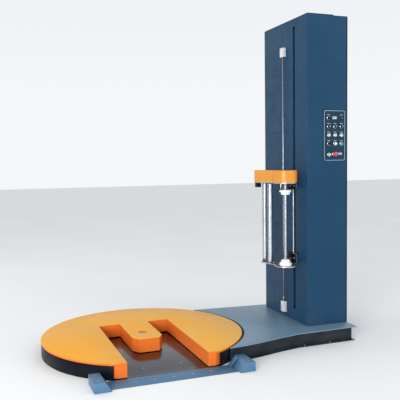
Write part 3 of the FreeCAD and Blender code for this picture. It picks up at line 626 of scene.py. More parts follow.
@dataclass(frozen=True)
class Lens:
    """Glossy coloured plastic over a lamp or a display."""

    colour: Colour
    glow: float = 0.0

    def make(self, name: str) -> bpy.types.Material:
        """Builds the material."""
        mix = Recipe(name)
        deep = tuple(0.45 * part for part in self.colour)
        base = mix.blend(mix.span(mix.noise(160, 2), 0.3, 0.7), deep, self.colour)
        rough = mix.span(mix.noise(60, 3), 0.3, 0.7, 0.06, 0.16)
        mix.surface(Base_Color=base, Roughness=rough, Coat_Weight=1.0, Emission_Color=base,
                    Emission_Strength=self.glow)
        mix.bump(mix.noise(500, 2, (1, 1, 0.1)), 0.08, 0.0003)
        return mix.material


@dataclass(frozen=True)
class StudioFloor:
    """Pale matt floor of the studio."""

    colour: Colour = (0.92, 0.925, 0.93)

    def make(self, name: str) -> bpy.types.Material:
        """Builds the material."""
        mix = Recipe(name)
        base = mix.blend(mix.span(mix.noise(0.8, 3), 0.3, 0.7), self.colour,
                         tuple(0.97 * part for part in self.colour))
        mix.surface(Base_Color=base, Roughness=0.75)
        return mix.material


class Coat(Enum):
    """Every finish on the machine."""

    # The table's top and side coats are lit and shaded copies of one orange paint: the top's lighter,
    # yellower copy is painted light, the sides' darker, redder copy is painted shade.
    TABLE_TOP = PowderCoat((0.89, 0.39, 0.025), (0.85, 0.44, 0.07), 0.4, 0.08, 0.0, 0.5, 0.12)
    TABLE_SIDE = PowderCoat((0.8, 0.165, 0.018), (0.76, 0.18, 0.028), 0.36, 0.08, 0.03, 0.5, 0.2)
    COVER = PowderCoat((0.69, 0.25, 0.016), (0.66, 0.28, 0.03), 0.32, 0.06, 0.0, 0.3)
    MAST_BLUE = PowderCoat((0.008, 0.046, 0.102), (0.011, 0.053, 0.114), 0.46, 0.1, 0.1, 0.3, 0.15)
    DECK_BLUE = PowderCoat((0.016, 0.095, 0.21), (0.028, 0.12, 0.25), 0.16, 0.04, 0.0, 0.7, 0.8)
    SILL_BLUE = PowderCoat((0.04, 0.135, 0.29), (0.085, 0.19, 0.36), 0.3, 0.1, 0.05, 0.8, 0.5)
    # The rim's dark blue is pushed to near black: painted shade under the table's lip.
    RIM_BLUE = PowderCoat((0.002, 0.004, 0.009), (0.004, 0.007, 0.014), 0.36, 0.08, 0.03, 0.2, 0.1)
    # The arm's web is blue paint darkened to near black: painted shade under the deck.
    FRAME_BLACK = PowderCoat((0.006, 0.012, 0.018), (0.01, 0.018, 0.025), 0.5, 0.12, 0.1, 0.3, 0.2)
    BRACKET_BLACK = PowderCoat((0.004, 0.005, 0.006), (0.008, 0.009, 0.01), 0.42, 0.1, 0, 0.8, 0.2)
    BOX_GREY = PowderCoat((0.36, 0.38, 0.4), (0.4, 0.42, 0.44), 0.45, 0.1, 0, 0.2)
    FLOOR_STEEL = RolledSteel((0.17, 0.175, 0.2), (0.08, 0.075, 0.08), 0.14, (1, 30, 1))
    ZINC = RolledSteel((0.6, 0.62, 0.65), (0.36, 0.38, 0.42), 0.34, (3, 3, 3))
    CHAIN = RolledSteel((0.2, 0.19, 0.18), (0.06, 0.05, 0.05), 0.36, (20, 20, 20))
    CHROME = TurnedSteel((0.55, 0.59, 0.65), 0.18, 600)
    SHAFT = TurnedSteel((0.4, 0.43, 0.49), 0.24, 1200)
    SCREW = TurnedSteel((0.46, 0.47, 0.5), 0.32, 2400)
    SPRING = TurnedSteel((0.34, 0.35, 0.38), 0.3, 1800)
    NYLON = Moulded((0.9, 0.9, 0.89), 0.42, 0.08, (0.8, 0.8, 0.78))
    BLOCK = Moulded((0.72, 0.75, 0.78), 0.4, 0.08, (0.5, 0.5, 0.5))
    MOTOR = Moulded((0.1, 0.12, 0.14), 0.5, 0.5, (0.3, 0.3, 0.3), 260)
    TREAD = Moulded((0.02, 0.02, 0.022), 0.62, 0.4, (0.08, 0.08, 0.08), 300)
    BLACK = Moulded((0.004, 0.004, 0.005), 0.36, 0.2, (0.03, 0.03, 0.03), 700, 0, 0.2)
    PANEL = Moulded((0.01, 0.042, 0.076), 0.45, 0.12, (0.03, 0.07, 0.1), 900, 0, 0.15)
    PALE_LINE = Moulded((0.38, 0.52, 0.62), 0.5, 0.05, (0.4, 0.5, 0.55))
    PALE_MARK = Moulded((0.42, 0.46, 0.54), 0.5, 0.05, (0.4, 0.45, 0.5))
    BEZEL = TurnedSteel((0.7, 0.73, 0.76), 0.22, 3000)
    BLUE_CAP = Moulded((0.03, 0.13, 0.3), 0.22, 0.06, (0.3, 0.45, 0.6), 900, 0.6)
    IVORY_CAP = Moulded((0.74, 0.72, 0.62), 0.25, 0.06, (0.6, 0.6, 0.55), 900, 0.5)
    WHITE_CAP = Moulded((0.78, 0.82, 0.82), 0.25, 0.06, (0.6, 0.6, 0.6), 900, 0.5)
    GREEN_CAP = Moulded((0.03, 0.34, 0.16), 0.22, 0.06, (0.3, 0.5, 0.4), 900, 0.6)
    RED_CAP = Moulded((0.48, 0.01, 0.024), 0.2, 0.05, (0.7, 0.2, 0.2), 900, 0.8)
    GREEN_LAMP = Lens((0.015, 0.12, 0.06), 0.05)
    DISPLAY = Lens((0.74, 0.76, 0.74), 0.15)
    EYE = Lens((0.25, 0.02, 0.02), 0.0)

    def material(self) -> bpy.types.Material:
        """Returns the finish's material, made on first use."""
        known = bpy.data.materials.get(self.name.lower())
        return known or self.value.make(self.name.lower())


# ---------------------------------------------------------------- small pieces

def hex_outline(radius: float) -> Outline:
    """Returns a hexagon by the radius of its corners."""
    return circle(radius, 6)


def cap_screws(solid: Solid, places: Iterable[Matrix], radius: float, head: float) -> None:
    """Adds round screw heads with hexagon sockets.

    Args:
        solid: the solid they become part of.
        places: each head's frame, with its origin on the surface and +Z outwards.
        radius: radius of a head.
        head: height of a head.
    """
    for place in places:
        socket = hex_outline(radius * 0.52)
        solid.plate(circle(radius, 20), 0, head, head * 0.18, [socket], place, 2)
        solid.plate(hex_outline(radius * 0.5), 0, head * 0.45, 0, (), place)


def hex_bolt(solid: Solid, place: Matrix, radius: float, head: float) -> None:
    """Adds a hexagon head on a round washer, with its origin on the surface."""
    solid.plate(circle(radius * 1.55, 24), 0, head * 0.22, head * 0.05, (), place)
    solid.plate(hex_outline(radius), head * 0.22, head, head * 0.12, (), place)
    solid.plate(circle(radius * 0.45, 16), head, head * 1.12, head * 0.05, (), place)


# ------------------------------------------------------------------- turntable

@dataclass(frozen=True)
class Turntable:
    """The M-shaped turning top with its walls, hub and support wheels."""

    radius: float = 0.75
    channel_outer: float = 0.28
    channel_back: float = 0.286
    tongue: float = 0.114
    leg_end: float = 0.655
    nose: float = 0.076
    nose_front: float = 0.186
    cheek: float = 0.122
    lip: float = 0.015
    sheet: float = 0.006
    wheels: int = 4
    pivot: float = 0.03
    hub_face: float = 0.096

    def outline(self, radius: float, inset: float, corner: float) -> Outline:
        """Draws the edge of the M.

        Args:
            radius: radius of the round part.
            inset: how far the channels' sides stand behind the top's edge.
            corner: radius of the corners.

        Returns:
            The outline, counter-clockwise.
        """
        end = -self.leg_end + inset
        start = math.degrees(math.asin(end / radius))
        rim = arc(radius, start, 180 - start, 144)
        side = self.channel_outer + inset
        back = self.channel_back + inset
        tongue = self.tongue - inset
        nose = self.nose - inset / 2
        front = -self.nose_front + inset
        cheek = -self.cheek + inset / 2
        left = [(-side, end), (-side, back), (-tongue, back), (-tongue, cheek), (-nose, front)]
        right = [(-x, y) for x, y in reversed(left)]
        return rounded(rim + left + right, corner)

    def build(self) -> None:
        """Builds the table's pieces."""
        low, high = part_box("table_top")
        top = Solid().plate(self.outline(self.radius, 0, 0.002), low.z, high.z, 0.0016,
                            [circle(self.pivot, 48)])
        # The plate's top takes the lit copy of the orange (painted light), its upright edges the
        # shaded copy (painted shade).
        top.sides(1).piece("turntable_top", "table", [Coat.TABLE_TOP, Coat.TABLE_SIDE],
                           ["table_top"])

        low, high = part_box("table_walls")
        outer = self.outline(self.radius - self.lip, 0, 0.003)
        inner = self.outline(self.radius - self.lip - self.sheet, self.sheet, 0.001)
        walls = Solid().plate(outer, low.z, high.z, 0.0008, [inner], None, 1)
        # The walls take the shaded copy of the orange: painted shade.
        walls.piece("turntable_walls", "table", [Coat.TABLE_SIDE], ["table_walls"])

        low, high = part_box("table_hub")
        hub = Solid()
        hub.lathe([(0, low.z), (0.023, low.z), (0.025, low.z + 0.002), (0.025, 0.084),
                   (0.08, 0.084), (0.082, 0.086), (0.082, 0.096), (0.08, 0.098),
                   (0.029, 0.098), (0.028, 0.0965), (0, 0.0965)])
        hub.wear(1)
        cap_screws(hub, [at(0, 0, self.hub_face)], 0.0175, high.z - self.hub_face)
        hub.piece("turntable_hub", "table", [Coat.SHAFT, Coat.SCREW], ["table_hub"])

        for number in range(1, self.wheels + 1):
            self.wheel(number)
        dress("wheel_brackets", Coat.BRACKET_BLACK)

    def wheel(self, number: int) -> None:
        """Builds one support wheel: a crowned tread on a webbed steel hub."""
        node = f"support_wheel_{number}"
        low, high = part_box(node)
        middle = (low + high) / 2
        place = Matrix.Translation(middle) @ towards(Vector((middle.x, middle.y, 0)))
        tread = [(0.024, -0.013), (0.031, -0.013), (0.0335, -0.0105), (0.034, -0.004),
                 (0.034, 0.004), (0.0335, 0.0105), (0.031, 0.013), (0.024, 0.013)]
        core = [(0.0085, -0.013), (0.013, -0.013), (0.014, -0.009), (0.021, -0.008),
                (0.0235, -0.012), (0.0239, -0.012), (0.0239, 0.012), (0.0235, 0.012),
                (0.021, 0.008), (0.014, 0.009), (0.013, 0.013), (0.0085, 0.013)]
        wheel = Solid().lathe(tread, place, 48, True).wear(1).lathe(core, place, 40, True)
        wheel.piece(f"wheel_{number}_tread", f"wheel_{number}", [Coat.TREAD, Coat.ZINC], [node])


# ------------------------------------------------------------------------ base

@dataclass(frozen=True)
class Floor:
    """The floor plate, the fixed rim wall, the entry sill and the hub motor."""

    rim_outer: float = 0.748
    rim_inner: float = 0.741
    entry_half: float = 0.37
    sill_front: float = 0.8
    sill_back: float = 0.668
    sill_rise: float = 0.009
    block_crest: float = 0.07
    bolt_pitch: float = 0.128
    sill_bolts: int = 7
    sill_bolt_y: float = -0.735
    sill_bolt_z: float = 0.0052
    edge_gap: float = 0.006
    floor_bolts: int = 12
    bolt_circle: float = 0.52
    motor_screws: int = 8
    motor_circle: float = 0.093

    def build(self) -> None:
        """Builds the floor's pieces."""
        low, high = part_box("floor_plate")
        reach = self.rim_inner - 0.001
        half = self.entry_half - self.edge_gap
        start = -math.degrees(math.acos(half / reach))
        rim = arc(reach, start, 180 - start, 120)
        edge = rim + [(-half, low.y), (half, low.y)]
        plate = Solid().plate(edge, low.z, high.z, 0.0008)
        plate.wear(1)
        for spot in around(self.floor_bolts, self.bolt_circle, 15, high.z - 0.0006):
            plate.plate(circle(0.008, 20), 0, 0.001, 0.0003, [hex_outline(0.0035)], spot)
        plate.piece("floor_sheet", "base", [Coat.FLOOR_STEEL, Coat.SCREW], ["floor_plate"])

        low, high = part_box("base_rim")
        start = -math.degrees(math.acos(self.entry_half / self.rim_outer))
        wall = arc(self.rim_outer, start, 180 - start, 128)
        back = arc(self.rim_inner, 180 - start, start, 128)
        rim_wall = Solid().plate(wall + back, low.z, high.z, 0.0012)
        # Near-black rim coat: painted shade under the table's lip.
        rim_wall.piece("rim_wall", "base", [Coat.RIM_BLUE], ["base_rim"])

        self.sill()
        self.block("sill_block_left", -1)
        self.block("sill_block_right", 1)

        low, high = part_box("hub_gearmotor")
        motor = Solid().lathe([
            (0.0255, low.z), (0.096, low.z), (0.098, low.z + 0.002), (0.098, low.z + 0.006),
            (0.096, low.z + 0.008), (0.09, low.z + 0.008), (0.088, low.z + 0.011),
            (0.088, high.z - 0.014), (0.086, high.z - 0.01), (0.076, high.z), (0.0255, high.z),
        ], None, 64, True)
        motor.wear(1)
        spots = around(self.motor_screws, self.motor_circle, 10, low.z + 0.0078)
        cap_screws(motor, spots, 0.004, 0.004)
        motor.piece("hub_motor", "base", [Coat.MOTOR, Coat.SCREW], ["hub_gearmotor"])

    def sill(self) -> None:
        """Builds the entry ramp with its folded back edge and flush bolts."""
        low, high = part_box("entry_sill")
        side = at(low.x, 0, 0) @ SIDEWAYS
        profile = [(-self.sill_front, 0), (-self.sill_back, 0), (-self.sill_back, self.sill_rise),
                   (-self.sill_back - 0.012, self.sill_rise), (-self.sill_front, 0.002)]
        ramp = Solid().plate(profile, 0, high.x - low.x, 0.0007, (), side)
        slope = math.atan2(self.sill_rise - 0.002, self.sill_front - self.sill_back - 0.012)
        ramp.wear(1)
        for index in range(self.sill_bolts):
            x = (low.x + high.x) / 2 + (index - self.sill_bolts // 2) * self.bolt_pitch
            lean = at(x, self.sill_bolt_y, self.sill_bolt_z) @ Matrix.Rotation(slope, 4, "X")
            ramp.plate(circle(0.009, 24), 0, 0.001, 0.0003, [hex_outline(0.004)], lean)
        ramp.piece("entry_ramp", "base", [Coat.SILL_BLUE, Coat.SCREW], ["entry_sill"])

    def block(self, node: str, side: int) -> None:
        """Builds one end block with its inclined inner side and its bolts.

        Args:
            node: the frame's node that it stands for.
            side: -1 for the left block, 1 for the right one.
        """
        low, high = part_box(node)
        foot_inner = high.x if side < 0 else low.x
        foot_outer = low.x if side < 0 else high.x
        crest_inner = foot_outer - side * self.block_crest
        profile = [(foot_inner, 0), (foot_outer, 0), (foot_outer, high.z), (crest_inner, high.z)]
        stand = upright(0, high.y, 0)
        block = Solid().plate(rounded(profile, 0.0035, 3), 0, high.y - low.y, 0.0012, (), stand)
        fold = crest_inner - side * 0.01
        strip = [(foot_inner - side * 0.016, 0.01), (foot_inner - side * 0.012, 0.01),
                 (fold, high.z - 0.004), (crest_inner, high.z - 0.004), (crest_inner, high.z),
                 (fold - side * 0.003, high.z)]
        if side > 0:
            block.plate(strip, 0, 0.05, 0.0006, (), upright(0, low.y + 0.165, 0))
        block.wear(1)
        crest = (foot_outer + crest_inner) / 2
        spots = [at(crest, y, high.z - 0.001) for y in (low.y + 0.035, high.y - 0.035)]
        cap_screws(block, spots, 0.0075, 0.0016)
        block.piece(node.replace("sill_block", "end_block"), "base",
                    [Coat.SILL_BLUE, Coat.SCREW], [node])


@dataclass(frozen=True)
class BaseArm:
    """The low arm that joins the mast to the turntable's base."""

    cutout: float = 0.768
    front: tuple[Flat, ...] = ((0.453, -0.628), (0.574, -0.615), (0.722, -0.586),
                               (0.893, -0.541), (1.064, -0.507), (1.57, -0.5))
    rear: tuple[Flat, ...] = ((1.57, 0.415), (1.235, 0.432), (0.585, 0.494))
    web_inset: float = 0.03
    web_sheet: float = 0.008
    flange_inset: float = 0.012
    bite_gap: float = 0.012
    screws: tuple[Flat, ...] = ((1.02, -0.44), (1.5, -0.44), (1.5, 0.37), (1.02, 0.39))
    bolts_x: tuple[float, ...] = (1.12, 1.34, 1.545)
    bolts_y: float = -0.4795

    def outline(self, inset: float, radius: float) -> Outline:
        """Draws the arm's plan, with a round bite for the table.

        Args:
            inset: how far it stands behind the deck's edge.
            radius: radius of the round bite.

        Returns:
            The outline, counter-clockwise.
        """
        front = [(x, y + inset) for x, y in self.front[:-1]]
        front.append((self.front[-1][0] - inset, self.front[-1][1] + inset))
        rear = [(self.rear[0][0] - inset, self.rear[0][1] - inset)]
        rear += [(x, y - inset) for x, y in self.rear[1:]]
        top = self._meet(rear[-2], rear[-1], radius)
        if math.hypot(*front[0]) > radius:
            foot = self._meet(front[0], rear[-1], radius)
        else:
            foot = self._meet(front[1], front[0], radius)
            front = front[1:]
        bite = arc(radius, math.degrees(math.atan2(top[1], top[0])),
                   math.degrees(math.atan2(foot[1], foot[0])), 72)
        return front + rear[:-1] + bite

    @staticmethod
    def _meet(far: Flat, near: Flat, radius: float) -> Flat:
        """Returns where the way from far to near first meets the circle."""
        begin, way = Vector(far), Vector(near) - Vector(far)
        half = begin.dot(way) / way.length_squared
        rest = (begin.length_squared - radius * radius) / way.length_squared
        share = -half - math.sqrt(max(half * half - rest, 0.0))
        return tuple(begin + way * share)

    def build(self) -> None:
        """Builds the deck and the frame below it."""
        low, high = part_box("base_deck")
        deck = Solid().plate(self.outline(0, self.cutout), low.z, high.z, 0.0012)
        deck.wear(1)
        cap_screws(deck, [at(x, y, high.z - 0.0052) for x, y in self.screws], 0.008, 0.005)
        deck.piece("deck_plate", "base", [Coat.DECK_BLUE, Coat.SCREW], ["base_deck"])

        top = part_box("base_frame")[1].z
        bite = self.cutout - self.bite_gap
        outer = self.outline(self.web_inset, bite)
        inner = self.outline(self.web_inset + self.web_sheet, bite + self.web_sheet)
        web = Solid().plate(outer, 0.005, top, 0.0008, [inner])
        web.plate(self.outline(self.flange_inset, bite), 0, 0.006, 0.0008)
        web.wear(1)
        for x in self.bolts_x:
            hex_bolt(web, at(x, self.bolts_y, 0.006), 0.0052, 0.006)
        # Near-black web coat: painted shade under the deck.
        web.piece("arm_web", "base", [Coat.FRAME_BLACK, Coat.SCREW], ["base_frame"])


# ------------------------------------------------------------------------ mast

@dataclass(frozen=True)
class Mast:
    """The folded steel mast with its cap, its rear cover and the limit rod."""

    sheet: float = 0.004
    fold: float = 0.007
    flange: float = 0.028
    slot_y: float = -0.152
    slot_half: float = 0.018
    slot_foot: float = 0.205
    slot_top: float = 2.434
    window: tuple[float, float, float, float] = (1.367, 1.395, 1.54, 1.765)
    vents: int = 8
    vent_foot: float = 1.9
    vent_pitch: float = 0.024
    vent_half: float = 0.12
    vent_gap: float = 0.008
    screw_rows: int = 6
    screw_foot: float = 0.2
    screw_pitch: float = 0.44
    screw_y: float = 0.346
    lower_block_head: float = 0.235
    upper_block_foot: float = 2.223
    rod_radius: float = 0.0045
    collar: float = 0.266

    def build(self) -> None:
        """Builds the mast's pieces."""
        self.shell()
        self.cap()
        self.rear()
        self.rod()

    def shell(self) -> None:
        """Builds the folded sheet with its slot and its panel window."""
        low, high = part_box("mast_shell")
        tip = high.y - self.flange
        outer = [(high.x, -tip), (high.x, low.y), (low.x, low.y)]
        outer += [(low.x, high.y), (high.x, high.y), (high.x, tip)]
        s = self.sheet
        inner = [(high.x - s, tip), (high.x - s, high.y - s), (low.x + s, high.y - s)]
        inner += [(low.x + s, low.y + s), (high.x - s, low.y + s), (high.x - s, -tip)]
        plan = self.folded(outer, self.fold) + self.folded(inner, self.fold - s)
        shell = Solid().plate(plan[::-1], low.z, high.z)
        slot = rounded(rectangle((self.slot_y - self.slot_half, self.slot_foot),
                                 (self.slot_y + self.slot_half, self.slot_top)), 0.012)
        left, foot, right, head = self.window
        hole = rounded(rectangle((left, foot), (right, head)), 0.008)
        cutter = Solid().plate(slot, low.x - 0.01, low.x + 0.01, 0, (), SIDEWAYS)
        cutter.plate(hole, 0.34, 0.38, 0, (), upright(0, 0, 0))
        shell.carve(cutter)
        for side in (-1, 1):
            edge = self.slot_y + side * self.slot_half
            near, far = sorted((edge, edge + side * 0.002))
            shell.block((low.x + 0.0035, near, self.slot_foot + 0.02),
                        (low.x + 0.016, far, self.slot_top - 0.02), 0.0004)
        shell.piece("mast_body", "base", [Coat.MAST_BLUE], ["mast_shell"])

    @staticmethod
    def folded(corners: Outline, radius: float) -> Outline:
        """Rounds the four inner corners of an open run and leaves its two ends."""
        return [corners[0]] + rounded(corners, radius)[7:-7] + [corners[-1]]

    def cap(self) -> None:
        """Builds the raised front part of the mast's top."""
        low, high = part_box("mast_cap")
        plan = rounded(rectangle((low.x, low.y), (high.x, high.y)), self.fold)
        lid = Solid().plate(plan, low.z, high.z, 0.003, (), None, 3)
        lid.wear(1)
        spots = [at(x, y, high.z - 0.0042) for x in (low.x + 0.03, high.x - 0.03)
                 for y in (low.y + 0.04, 0, high.y - 0.04)]
        cap_screws(lid, spots, 0.006, 0.004)
        lid.piece("mast_lid", "base", [Coat.MAST_BLUE, Coat.SCREW], ["mast_cap"])

    def rear(self) -> None:
        """Builds the rear cover with hooded vents and its screws."""
        low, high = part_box("rear_cover")
        cap_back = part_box("mast_cap")[1].x
        feet = [self.vent_foot + self.vent_pitch * index for index in range(self.vents)]
        cutter = Solid()
        for foot in feet:
            gap = rectangle((-self.vent_half, foot), (self.vent_half, foot + self.vent_gap))
            cutter.plate(rounded(gap, 0.003, 3), high.x - 0.01, high.x + 0.01, 0, (), SIDEWAYS)
        cover = Solid().block((high.x - self.sheet, low.y, low.z), high, 0.0014).carve(cutter)
        cover.block((cap_back + 0.0004, low.y, high.z - self.sheet), (high.x - 0.002, high.y, high.z),
                    0.0012)
        hood = [(0, 0), (0.0036, 0), (0.0036, 0.0012), (0, 0.009)]
        for foot in feet:
            along = upright(high.x - 0.0002, self.vent_half + 0.002, foot + 0.0075)
            cover.plate(hood, 0, 2 * self.vent_half + 0.004, 0.0004, (), along)
        cover.piece("back_cover", "base", [Coat.MAST_BLUE], ["rear_cover"])

        low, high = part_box("rear_cover_screws")
        spots = [at(low.x, side * self.screw_y, self.screw_foot + self.screw_pitch * row)
                 for side in (-1, 1) for row in range(self.screw_rows)]
        screws = Solid()
        cap_screws(screws, [spot @ towards(X_AXIS) for spot in spots], 0.006, high.x - low.x)
        screws.piece("back_screws", "base", [Coat.SCREW], ["rear_cover_screws"])

    def rod(self) -> None:
        """Builds the thin limit rod with its collar and its two white blocks."""
        low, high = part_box("limit_rod")
        middle = (low + high) / 2
        rod = Solid().rod((middle.x, 0, low.z), (middle.x, 0, high.z), self.rod_radius, 24,
                         0.0006)
        collar = [(0.0047, -0.011), (0.0078, -0.011), (0.0085, -0.0103), (0.0085, 0.0102),
                  (0.0078, 0.011), (0.0047, 0.011)]
        rod.lathe(collar, at(middle.x, 0, self.collar), 32, True)
        lean = at(middle.x - 0.0083, 0, self.collar) @ towards(-X_AXIS)
        rod.plate(circle(0.0025, 12), 0, 0.0006, 0.0002, [hex_outline(0.0012)], lean)
        rod.piece("stop_rod", "base", [Coat.SHAFT], ["limit_rod"])

        low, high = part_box("limit_rod_blocks")
        holders = Solid()
        for foot, head in ((low.z, self.lower_block_head), (self.upper_block_foot, high.z)):
            holders.wear(0).block((low.x, low.y, foot), (high.x, high.y, head), 0.0022)
            spots = [at(low.x + 0.0032, y, z) @ towards(-X_AXIS)
                     for z in (foot + 0.016, head - 0.016) for y in (-0.014, 0.014)]
            cap_screws(holders.wear(1), spots, 0.0045, 0.003)
        holders.piece("rod_holders", "base", [Coat.BLOCK, Coat.SCREW], ["limit_rod_blocks"])


# ------------------------------------------------------------------- lift gear

@dataclass(frozen=True)
class LiftGear:
    """The chain drive inside the mast."""

    axis_x: float = 1.327
    axis_y: float = -0.152
    pitch_radius: float = 0.042
    low: float = 0.2
    high: float = 2.4
    teeth: int = 17
    pitch: float = 0.015875
    fins: int = 28

    def build(self) -> None:
        """Builds the chain, the sprockets and the gearmotor."""
        dress("guide_rails", Coat.CHAIN)
        self.chain()
        for name, height in (("upper", self.high), ("lower", self.low)):
            self.sprocket(name, height)
        self.motor()

    def bend(self, height: float, turn: float) -> tuple[Vector, float]:
        """Returns a place on a sprocket's pitch circle and the chain's angle there."""
        spot = (self.axis_x + self.pitch_radius * math.cos(turn), self.axis_y,
                height + self.pitch_radius * math.sin(turn))
        return Vector(spot), 90 + math.degrees(turn)

    def along(self, run: float) -> tuple[Vector, float]:
        """Returns a place on the chain's loop and the chain's angle there."""
        straight = self.high - self.low
        half = math.pi * self.pitch_radius
        run %= 2 * (straight + half)
        if run < straight:
            return self.bend(self.low + run, 0)
        run -= straight
        if run < half:
            return self.bend(self.high, run / self.pitch_radius)
        run -= half
        if run < straight:
            return self.bend(self.high - run, math.pi)
        return self.bend(self.low, math.pi + (run - straight) / self.pitch_radius)

    def chain(self) -> None:
        """Builds the roller chain link by link."""
        length = 2 * (self.high - self.low) + 2 * math.pi * self.pitch_radius
        count = 2 * round(length / self.pitch / 2)
        step = length / count
        chain = Solid()
        plate = [(-0.0105, -0.0028), (-0.008, -0.0046), (0.008, -0.0046), (0.0105, -0.0028),
                 (0.0105, 0.0028), (0.008, 0.0046), (-0.008, 0.0046), (-0.0105, 0.0028)]
        for index in range(count):
            spot, angle = self.along(step * (index + 0.5))
            place = upright(*spot) @ spun(angle)
            gap = 0.0038 if index % 2 else 0.0053
            for low in (-gap - 0.0006, gap - 0.0006):
                chain.plate(plate, low, low + 0.0012, 0, (), place)
            pin, _ = self.along(step * index)
            chain.rod(pin - Y_AXIS * 0.0058, pin + Y_AXIS * 0.0058, 0.004, 8)
        chain.piece("lift_chain_links", "base", [Coat.CHAIN], ["lift_chain"])

    def sprocket(self, name: str, height: float) -> None:
        """Builds one toothed sprocket on its shaft.

        Args:
            name: "upper" or "lower".
            height: height of its axis.
        """
        node = f"{name}_sprocket"
        low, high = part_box(node)
        ring: Outline = []
        share = 360 / self.teeth
        for tooth in range(self.teeth):
            base = 360 * tooth / self.teeth
            for part, radius in ((0.0, 0.0315), (0.2, 0.0335), (0.38, 0.0366), (0.62, 0.0366),
                                 (0.8, 0.0335)):
                ring += arc(radius, base + part * share, base, 1)[:1]
        front = upright(self.axis_x, self.axis_y + 0.004, height)
        wheel = Solid().plate(ring, 0, 0.008, 0.0006, [circle(0.0102, 32)], front, 1)
        wheel.lathe([(0.0102, -0.004), (0.017, -0.004), (0.018, -0.003), (0.018, 0.011),
                     (0.017, 0.012), (0.0102, 0.012)], front, 40, True)
        wheel.rod((self.axis_x, low.y, height), (self.axis_x, high.y, height), 0.01, 32, 0.001)
        body = "sprocket_top" if name == "upper" else "sprocket_bottom"
        wheel.piece(f"{name}_chain_wheel", body, [Coat.SHAFT], [node])

    def motor(self) -> None:
        """Builds the finned gearmotor on its foot."""
        low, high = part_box("lift_gearmotor")
        box_low, box_high = self.axis_y + 0.02, self.axis_y + 0.11
        motor = Solid()
        motor.block((self.axis_x - 0.048, box_low, self.low - 0.052),
                    (self.axis_x + 0.048, box_high, self.low + 0.052), 0.006, None, 3)
        motor.block((self.axis_x - 0.048, box_low, low.z), (high.x, box_high, self.low - 0.05), 0.004)
        back = at(self.axis_x, box_high, self.low) @ towards(Y_AXIS)
        length = high.y - box_high
        motor.lathe([(0, -0.004), (0.04, -0.004), (0.04, 0.006), (0.037, 0.01),
                     (0.037, length - 0.05), (0.04, length - 0.046), (0.049, length - 0.044),
                     (0.05, length - 0.041), (0.05, length - 0.006), (0.046, length - 0.001),
                     (0.012, length - 0.001), (0.01, length), (0, length)], back, 64)
        for index in range(self.fins):
            turn = back @ spun(360 * index / self.fins)
            motor.block((0.034, -0.0009, 0.012), (0.0458, 0.0009, length - 0.052), 0.0004, turn, 1)
        motor.wear(1)
        spots = [at(self.axis_x + x, box_low, self.low + z) @ towards(-Y_AXIS)
                 for x in (-0.036, 0.036) for z in (-0.04, 0.04)]
        cap_screws(motor, spots, 0.005, 0.003)
        motor.piece("lift_motor", "base", [Coat.MOTOR, Coat.SCREW], ["lift_gearmotor"])


# --------------------------------------------------------------- control panel

